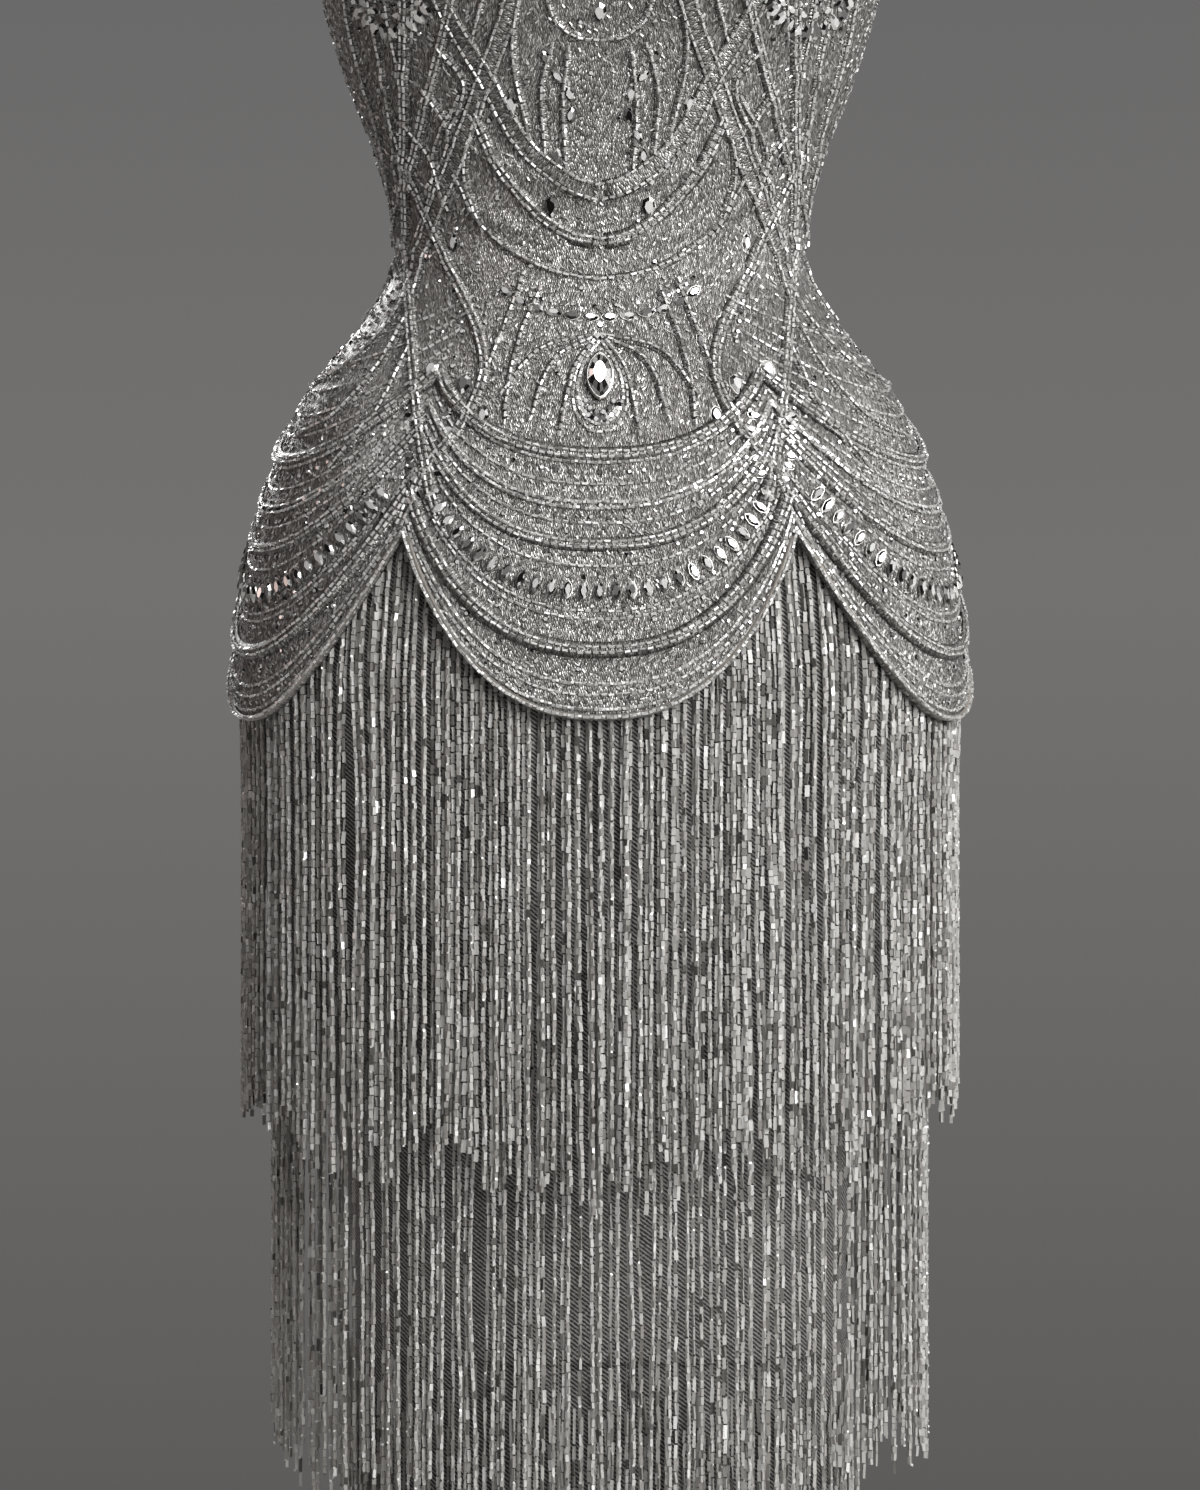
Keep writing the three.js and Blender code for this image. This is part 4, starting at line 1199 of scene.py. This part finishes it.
def ornaments():
    lines, stones, front, back = Beads(), Beads(), Beads(), Beads()
    ridges = []
    swag_rows(lines, ridges, stones)
    front_lines(lines, ridges, stones)
    neckline(lines)
    stone = drop(lines, stones)
    taken = np.concatenate(lines.middles + stones.middles)
    spangles(stones, SPANGLES["front"], 0, taken)
    spangles(stones, SPANGLES["back"], 180, taken)
    taken = np.concatenate(lines.middles + stones.middles)
    scatter(front, SCATTER["front"], 0, taken)
    scatter(back, SCATTER["back"], 180, taken)
    return [
        stone,
        belongs(tubes("corded_ridges", ridges, [TULLE]), "beaded_tulle"),
        belongs(lines.build("bead_rows", BUGLES), "bugle_beads"),
        belongs(stones.build("set_stones", STONES), "cut_glass"),
        belongs(front.build("scattered_beads_front", BUGLES), "bugle_beads"),
        belongs(back.build("scattered_beads_back", BUGLES), "bugle_beads"),
    ]


sewn_on = ornaments()
for name, cloth in tunic.items():
    kind = PANELS[name.replace("_left", "").replace("_right", "")]
    going = sewn_on if name == "middle_front" else ()
    surface_area(cloth)
    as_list(going)

# ---- Straps ----

STRAP = {"width": 18, "thickness": 2, "front_x": 86, "back_x": 80}
# A strap's middle line over the +X shoulder, from front to back.
STRAP_PATH = [
    (89, -82, -105),
    (94, -60, -48),
    (98, -32, -9),
    (100, 0, 1),
    (98, 32, -12),
    (93, 58, -58),
    (86, 74, -130),
]
STRAP_ROWS = (-7.6, 7.6)
STRAP_STONES = {"pitch": 5.4, "size": 3.6}
STRAP_STONE_ROWS = [(-3.2, 6), (3.2, 3.4)]  # distance from the middle line, and where the row starts
STRAP_GRID = {"along": 76, "across": 7}
STRAP_CLEAR = {"beads": 2.5, "stones": 4}  # bare lengths at the ends


def strap_end(turn, z):
    """Where a strap meets the tunic's top edge, half a cloth in."""
    x, y = place(turn, z, -CLOTH / 2)[:2]
    return np.array([x, y, z + 2 * SEAM_GAP])


def front_end_of_strap(x):
    z = front_top(np.abs(x / SEAM_X))
    return strap_end(turn_at_x(x, z), z)


def back_end_of_strap(x):
    turn = 180 - turn_at_x(x, BACK_TOP["middle"])
    return strap_end(turn, top_edge(turn))


def strap(node_name, side):
    ends = front_end_of_strap(STRAP["front_x"]), back_end_of_strap(STRAP["back_x"])
    middle = np.array([ends[0], *STRAP_PATH, ends[1]], float)
    stations = np.concatenate([[0], np.cumsum(np.linalg.norm(np.diff(middle, axis=0), axis=-1))])
    length = stations[-1]

    def frame_at(at):
        point = smooth_curve(stations, middle, at)
        along = unit(smooth_curve(stations, middle, at + 1) - smooth_curve(stations, middle, at - 1))
        return point, along, unit(np.cross(ACROSS_X, along))

    def sewn(start, end, pitch, aside, lift):
        """Places along the strap's outer face, with the directions along it and outward."""
        point, along, out = frame_at(np.arange(start, end, pitch))
        return (point + aside * ACROSS_X + out * (half_thick + lift)) * flip, along * flip, out * flip

    flip = np.array([side, 1, 1])
    half_thick = STRAP["thickness"] / 2
    at = np.linspace(0, length, STRAP_GRID["along"])
    point, along, out = frame_at(at)
    v = np.linspace(-1, 1, STRAP_GRID["across"]) * STRAP["width"] / 2
    grid = point[:, None] + v[:, None] * ACROSS_X
    grid[0] = [front_end_of_strap(STRAP["front_x"] + w) for w in v]
    grid[-1] = [back_end_of_strap(STRAP["back_x"] + w) for w in v]
    uv = np.stack(np.broadcast_arrays(at[:, None], v), axis=-1)
    half = out[:, None] * half_thick
    parts = ((grid + half) * flip, (grid - half) * flip, uv)
    if side > 0:
        parts = (part[:, ::-1] for part in parts)
    cloth = walls(node_name + "_cloth", *parts, [TULLE, LINING])
    beads, stones = Beads(), Beads()
    bare, pitch = STRAP_CLEAR["beads"], BUGLE["length"] + BUGLE["gap"]
    for row in STRAP_ROWS:
        places = sewn(bare, length - bare, pitch, row, ROW_LIFT)
        beads.add(*places, BUGLE["length"], BUGLE["radius"], 4, (0, 1, 2), ROW_MIX)
    for row, start in STRAP_STONE_ROWS:
        places = sewn(start, length - STRAP_CLEAR["stones"], STRAP_STONES["pitch"], row, 0)
        add_stones(stones, *places, "round", STRAP_STONES["size"], STRAP_STONES["size"])
    belongs(cloth, "beaded_tulle", node_name)
    rows = belongs(beads.build(node_name + "_bead_rows", BUGLES), "bugle_beads")
    set_stones = belongs(stones.build(node_name + "_stones", STONES), "cut_glass")


strap("strap_left", 1)
strap("strap_right", -1)

# ---- Zip at the centre back ----

ZIP = {"top": -229, "end": -497, "half_width": 12, "out": -2.8, "thickness": 0.8}
COIL = {"pitch": 1.5, "across": 2.4, "radius": 0.45, "sunk": 0.2, "lean": 0.25}


def behind_at(x, z):
    return 180 - turn_at_x(x, z)


def zip_on_tape():
    """A coil zip on a woven tape, sewn inside the opening: the coil lies on the tape's inner face."""
    z, x = np.meshgrid(
        np.linspace(ZIP["top"], ZIP["end"], 70),
        np.linspace(-ZIP["half_width"], ZIP["half_width"], 9)[::-1],
        indexing="ij",
    )
    turn = behind_at(x, z)
    outer, inner = place(turn, z, ZIP["out"]), place(turn, z, ZIP["out"] - ZIP["thickness"])
    tape = walls("zip_tape_woven", outer, inner, grid_uv(outer), [TAPE])
    coil = Beads()
    levels = np.arange(ZIP["end"] + 3, ZIP["top"] - 2, COIL["pitch"])
    for side in (-1, 1):
        z = levels + side * COIL["pitch"] / 4
        turn = behind_at(side * COIL["across"] / 3 + 0 * z, z)
        centres = place(turn, z, ZIP["out"] - ZIP["thickness"] - COIL["sunk"])
        across = np.array([1.0, 0, COIL["lean"] * side])
        coil.add(centres, across, outward(turn, z), COIL["across"], COIL["radius"], 4)
    belongs(tape, "twill", "zip_tape")
    teeth = belongs(coil.build("zip_coil", [THREAD], smooth=True), "twill")


zip_on_tape()
for name in ("zip_slider", "zip_pull"):
    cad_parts[name].data.materials.clear()
    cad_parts[name].data.materials.append(ZINC)

# ---- Underskirt ----

SKIRT_GRID = {"across": 61, "down": 36}


def underskirt(node_name, first, last):
    turns = np.linspace(first, last, SKIRT_GRID["across"])
    levels = np.linspace(UNDERSKIRT_TOP_Z, HEM_Z, SKIRT_GRID["down"])
    turn, z = np.meshgrid(turns, levels)
    outer = place(turn, z, UNDERSKIRT_OUT)
    inner = place(turn, z, UNDERSKIRT_OUT - UNDERSKIRT_CLOTH)
    made = walls(node_name + "_cloth", outer, inner, grid_uv(outer), [TWILL])
    return belongs(made, "twill", node_name)


front_end = SIDE_TURN - SIDE_GAP_TURN
back_end = SIDE_TURN + SIDE_GAP_TURN
skirts = [
    underskirt("underskirt_front", -front_end, front_end),
    underskirt("underskirt_back", back_end, 360 - back_end),
]

# ---- Fringe ----

FRINGE_OUT = -4.4  # the middle of a strand, from the tunic's surface
# Strands hang in two layers: every second one lies a little further in, and its beads are longer.
LAYERS = [
    {"pitch": 3.9, "radius": 1.25, "lift": 0.7},
    {"pitch": 6.5, "radius": 1.2, "lift": -0.75},
]
# Each tier by the distance between its strands, their thickness, the level that it hangs from and that of
# its tips, the level down to which another tier covers it, and how far its strands swing inward.
TIERS = table(("node", "pitch", "thick", "hang", "tip", "covered", "inward"), [
    ("fringe_tier_1", 3.1, 1.12, HIP_Z, -862, HIP_Z + 200, 1.2),
    ("fringe_tier_2", 4.2, 0.96, -769, -1043, -832, 0),
    ("fringe_tier_3", 3.5, 0.92, -984, -1333, -1012, 0),
])
UPPER, _, LOWEST = TIERS
TAPE_SIZE = {"out": -4.9, "depth": 1.2, "height": 8, "around": 240, "down": 3}
TIPS = {"swing": 20, "uneven": 34, "wave": 5, "wave_step": 0.135}
FALL = 60  # how far down a strand has swung all the way in
HUNG_LENGTH = 300  # the length over which a strand's drift and wave come to their full size
COVERED_BEAD = 3  # how many times longer the beads are that another tier covers
STRAND_REACH = 92  # strands within this turn have finer detail
KNOTS = 4  # lengths of thread down a strand
THREAD_RADIUS = 0.35
# The chances of a bead face's colour: bright (a painted glint), three greys, dark (a painted dark
# reflection), and the grey of the strand's own lot. Drawn face by face, the greys also paint light and
# shade onto the facets.
STRAND_FACES = [0.04, 0.16, 0.2, 0.1, 0.03, 0.47]
# Tiny cut beads between some of the bugles, fewer at the back and in the lowest tier. Their faces are
# near white or near black: painted points of light and painted dark reflections.
GLINT = {"share": 0.32, "low_share": 0.1, "proud": 0.75, "length": 1.1, "radius": 0.72}
# The chances of a painted glint and a painted dark reflection on each face.
GLINT_FACES = [0.8, 0.2]
BARE_THREAD = 48  # how far down the lower tiers' threads the first beads may start
# Places where the strands of a tier hang apart and the twill shows between them.
PARTINGS = table(("node", "turn", "gap", "z", "half_height"), [
    ("fringe_tier_1", -40.5, 6, -705, 100),
    ("fringe_tier_1", 24, 3.5, -760, 70),
    ("fringe_tier_1", 128, 6, -730, 90),
    ("fringe_tier_2", -19, 5, -925, 105),
    ("fringe_tier_2", 6, 3.5, -905, 80),
    ("fringe_tier_2", -165, 7, -930, 70),
    ("fringe_tier_3", 40, 6, -1200, 90),
    ("fringe_tier_3", -110, 6, -1180, 90),
])
PARTING_REACH = 11  # how far to each side the strands give way


def even_turns(pitch, z):
    """Turns all round, this far apart along the section at level z."""
    fine = np.linspace(-180, 180, 1441)
    steps = np.linalg.norm(np.diff(skin(fine, z), axis=0), axis=-1)
    along = np.concatenate([[0], np.cumsum(steps)])
    count = 2 * int(along[-1] / pitch / 2)
    return np.interp((np.arange(count) + 0.5) / count * along[-1], along, fine), 360 / count


def parted(tier, turn, z, degree):
    """How far aside the partings of this tier push a strand. degree is one degree in millimetres."""
    aside = 0 * z
    for parting in PARTINGS:
        if parting["node"] == tier["node"]:
            away = (turn - parting["turn"]) * degree
            push = parting["gap"] / 2 * math.exp(-((away / PARTING_REACH) ** 2))
            aside = aside + math.copysign(push, away) * bump((z - parting["z"]) / parting["half_height"])
    return aside


def strand_points(tier, turn, z, sway):
    """Points down a strand, with its own drift, wave and phase."""
    below = tier["hang"] - z
    fallen = np.clip(below / FALL, 0, 1)
    depth = np.clip(below / HUNG_LENGTH, 0, 1.3)
    aside = sway["drift"] * depth**1.5
    aside = aside + sway["wave"] * np.sqrt(depth) * np.sin(z / sway["length"] + sway["phase"])
    degree = np.linalg.norm(skin(turn + 0.5, tier["hang"]) - skin(turn - 0.5, tier["hang"]))
    aside = aside + parted(tier, turn, z, degree)
    out = FRINGE_OUT + sway["lift"] - tier["inward"] * fallen + sway["tilt"] * depth
    points = place(turn + aside / degree, np.maximum(z, tier["hang"]), out)
    points[..., 2] = z
    return points


def bead_ends(root, tip, covered, pitch):
    """The levels of the bead ends down a strand. Beads that another tier covers are longer."""
    levels = [root]
    while levels[-1] > tip:
        step = COVERED_BEAD if levels[-1] > covered else rng.uniform(0.8, 1.2)
        levels.append(levels[-1] - step * pitch)
    return np.array(levels)


def strand(beads, tier, turn, number):
    """One strand: its bugles, its glints and its thread."""
    front_layer = number % 2 == 0
    near = abs(turn) < STRAND_REACH
    layer = LAYERS[number % 2]
    root = (edge_z(turn) if tier is UPPER else tier["hang"]) + TAPE_SIZE["height"] * rng.uniform(0.2, 1)
    # Neighbours drift together, in clumps of about 14 strands and of about 40.
    sway = {
        "drift": 1.2 * math.sin(number * 0.45) + math.sin(number * 0.155 + 1) + rng.uniform(-1.1, 1.1),
        "wave": rng.uniform(0.1, 0.6),
        "length": rng.uniform(12, 40),
        "phase": rng.uniform(0, 6.3),
        "lift": layer["lift"],
        "tilt": rng.uniform(-0.3, 0.6),
    }
    uneven = TIPS["uneven"] * rng.uniform(-0.5, 0.5) + TIPS["wave"] * math.sin(number * TIPS["wave_step"])
    tip = tier["tip"] - TIPS["swing"] * math.cos(2 * math.radians(turn)) + uneven
    pitch = layer["pitch"] * rng.uniform(0.9, 1.1)
    bare = 0 if tier is UPPER else rng.uniform(0, BARE_THREAD)
    ends = bead_ends(root - bare, tip, tier["covered"], pitch)
    z = (ends[:-1] + ends[1:]) / 2
    n = len(z)
    centres = strand_points(tier, turn, z, sway)
    along = unit(strand_points(tier, turn, z + 1, sway) - strand_points(tier, turn, z - 1, sway))
    along = along + rng.normal(0, UNEVEN["direction"], along.shape)
    radius = tier["thick"] * layer["radius"] * rng.uniform(0.85, 1.1) * rng.uniform(0.82, 1.1, n)
    lengths = -np.diff(ends) * rng.uniform(0.84, 0.97, n)
    spin = rng.uniform(0, math.pi / 2) + rng.normal(0, 1.0, n)
    out = outward(turn, np.full(n, float(tier["hang"])))
    lot = rng.choice([1, 2, 3], p=STRUNG_LOTS)
    sides = 4 if near and front_layer else 3
    beads.add(centres, along, out, lengths, radius, sides, (0, 1, 2, 3, 4, lot), STRAND_FACES, spin)
    if front_layer or tier is not UPPER:
        share = GLINT["share"] if near and tier is not LOWEST else GLINT["low_share"]
        here = (z < tier["covered"]) & (rng.uniform(0, 1, n) < share)
        spots = strand_points(tier, turn, ends[1:][here], sway) + out[here] * GLINT["proud"]
        beads.add(spots, along[here], out[here], GLINT["length"], GLINT["radius"], 3, (0, 4), GLINT_FACES)
    if front_layer:
        knots = strand_points(tier, turn, np.linspace(root, tip, KNOTS + 1), sway)
        run = np.diff(knots, axis=0)
        lengths = np.linalg.norm(run, axis=1)
        middles = (knots[:-1] + knots[1:]) / 2
        beads.add(middles, run, (1, 0.3, 0), lengths, THREAD_RADIUS, 3, (len(STRUNG),))


def fringe(tier, half, keep):
    turns, apart = even_turns(tier["pitch"], tier["hang"])
    beads = Beads()
    for number, turn in enumerate(turns):
        turn = turn + rng.uniform(-0.38, 0.38) * apart
        if keep(abs(turn)):
            strand(beads, tier, turn, number)
    made = beads.build(f"{tier['node']}_strands_{half}", [*STRUNG, THREAD])
    return belongs(made, "bugle_beads", tier["node"])


def tape(tier):
    turns = np.linspace(-180, 180, TAPE_SIZE["around"], endpoint=False)
    low = edge_z(turns) + TAPE_SIZE["height"] if tier is UPPER else tier["hang"] + 0 * turns
    z = low[None] + np.linspace(TAPE_SIZE["height"], 0, TAPE_SIZE["down"])[:, None]
    outer = place(turns, z, TAPE_SIZE["out"])
    inner = place(turns, z, TAPE_SIZE["out"] - TAPE_SIZE["depth"])
    return belongs(walls(tier["node"] + "_tape", outer, inner, grid_uv(outer), [TWILL], wrap=True), "twill")


fringe_pieces = []
for tier in TIERS:
    fringe_pieces.append(fringe(tier, "front", lambda turn: turn <= SIDE_TURN))
    fringe_pieces.append(fringe(tier, "back", lambda turn: turn > SIDE_TURN))
    fringe_pieces.append(tape(tier))
for skirt, going in zip(skirts, (fringe_pieces, ())):
    surface_area(skirt)
    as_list(going)

# ---- Light, floor and finish ----


def add_area_light(name, location, target, size, power, colour="#ffffff", spread=180):
    data = bpy.data.lights.new(name, "AREA")
    data.shape = "RECTANGLE"
    data.size, data.size_y = size
    data.energy = power
    data.spread = math.radians(spread)
    data.color = linear(colour)[:3]
    light = bpy.data.objects.new(name, data)
    light.location = location
    direction = np.array(target) - np.array(location)
    light.rotation_euler = Vector(direction).to_track_quat("-Z", "Y").to_euler()
    light.visible_camera = False
    bpy.context.scene.collection.objects.link(light)


def light_scene():
    aim = (0, 0, VIEW_MIDDLE_Z * MM)
    add_area_light("key_right", (2.05, -2.15, 0.7), (0, 0, -0.27), (2.6, 2.4), 43, spread=69)
    add_area_light("front_high", (0.3, -2.2, 1.8), aim, (1.2, 0.6), 22)
    add_area_light("left_rim", (-2.6, 0.2, 0.1), aim, (0.5, 1.8), 7, "#f0d2cc")
    add_area_light("right_rim", (2.3, 1.4, 0.1), aim, (0.5, 1.8), 5)
    add_area_light("back_soft", (-0.8, 3.0, 0.9), aim, (2.4, 1.8), 26, spread=90)
    world = bpy.data.worlds.new("studio")
    bpy.context.scene.world = world
    world.use_nodes = True
    tree = world.node_tree
    direction = node(tree, "ShaderNodeTexCoord").outputs["Generated"]
    height = node(tree, "ShaderNodeSeparateXYZ", Vector=direction).outputs["Z"]
    share = node(tree, "ShaderNodeMapRange", Value=height, i1=-0.12, i2=0.12, i3=0, i4=1).outputs[0]
    shades = [(0.0, "#5b5a59"), (0.3, "#686766"), (0.6, "#737271"), (1.0, "#6a6969")]
    grey = node(tree, "ShaderNodeValToRGB", stops=shades, Fac=share)
    tree.links.new(grey.outputs["Color"], tree.nodes["Background"].inputs["Color"])


FLOOR = {"radius": 2600, "sides": 96, "z": -1400}


def floor():
    turns = np.linspace(0, 2 * math.pi, FLOOR["sides"], endpoint=False)
    x, y = FLOOR["radius"] * np.cos(turns), FLOOR["radius"] * np.sin(turns)
    points = np.stack([x, y, np.full(FLOOR["sides"], FLOOR["z"])], axis=-1)
    painted = plain_material("studio_floor", "#c9c8c6", Roughness=0.7)
    new_object("floor", points, np.arange(FLOOR["sides"]), [FLOOR["sides"]], [painted])


light_scene()
floor()
bpy.context.scene.view_settings.view_transform = "Standard"
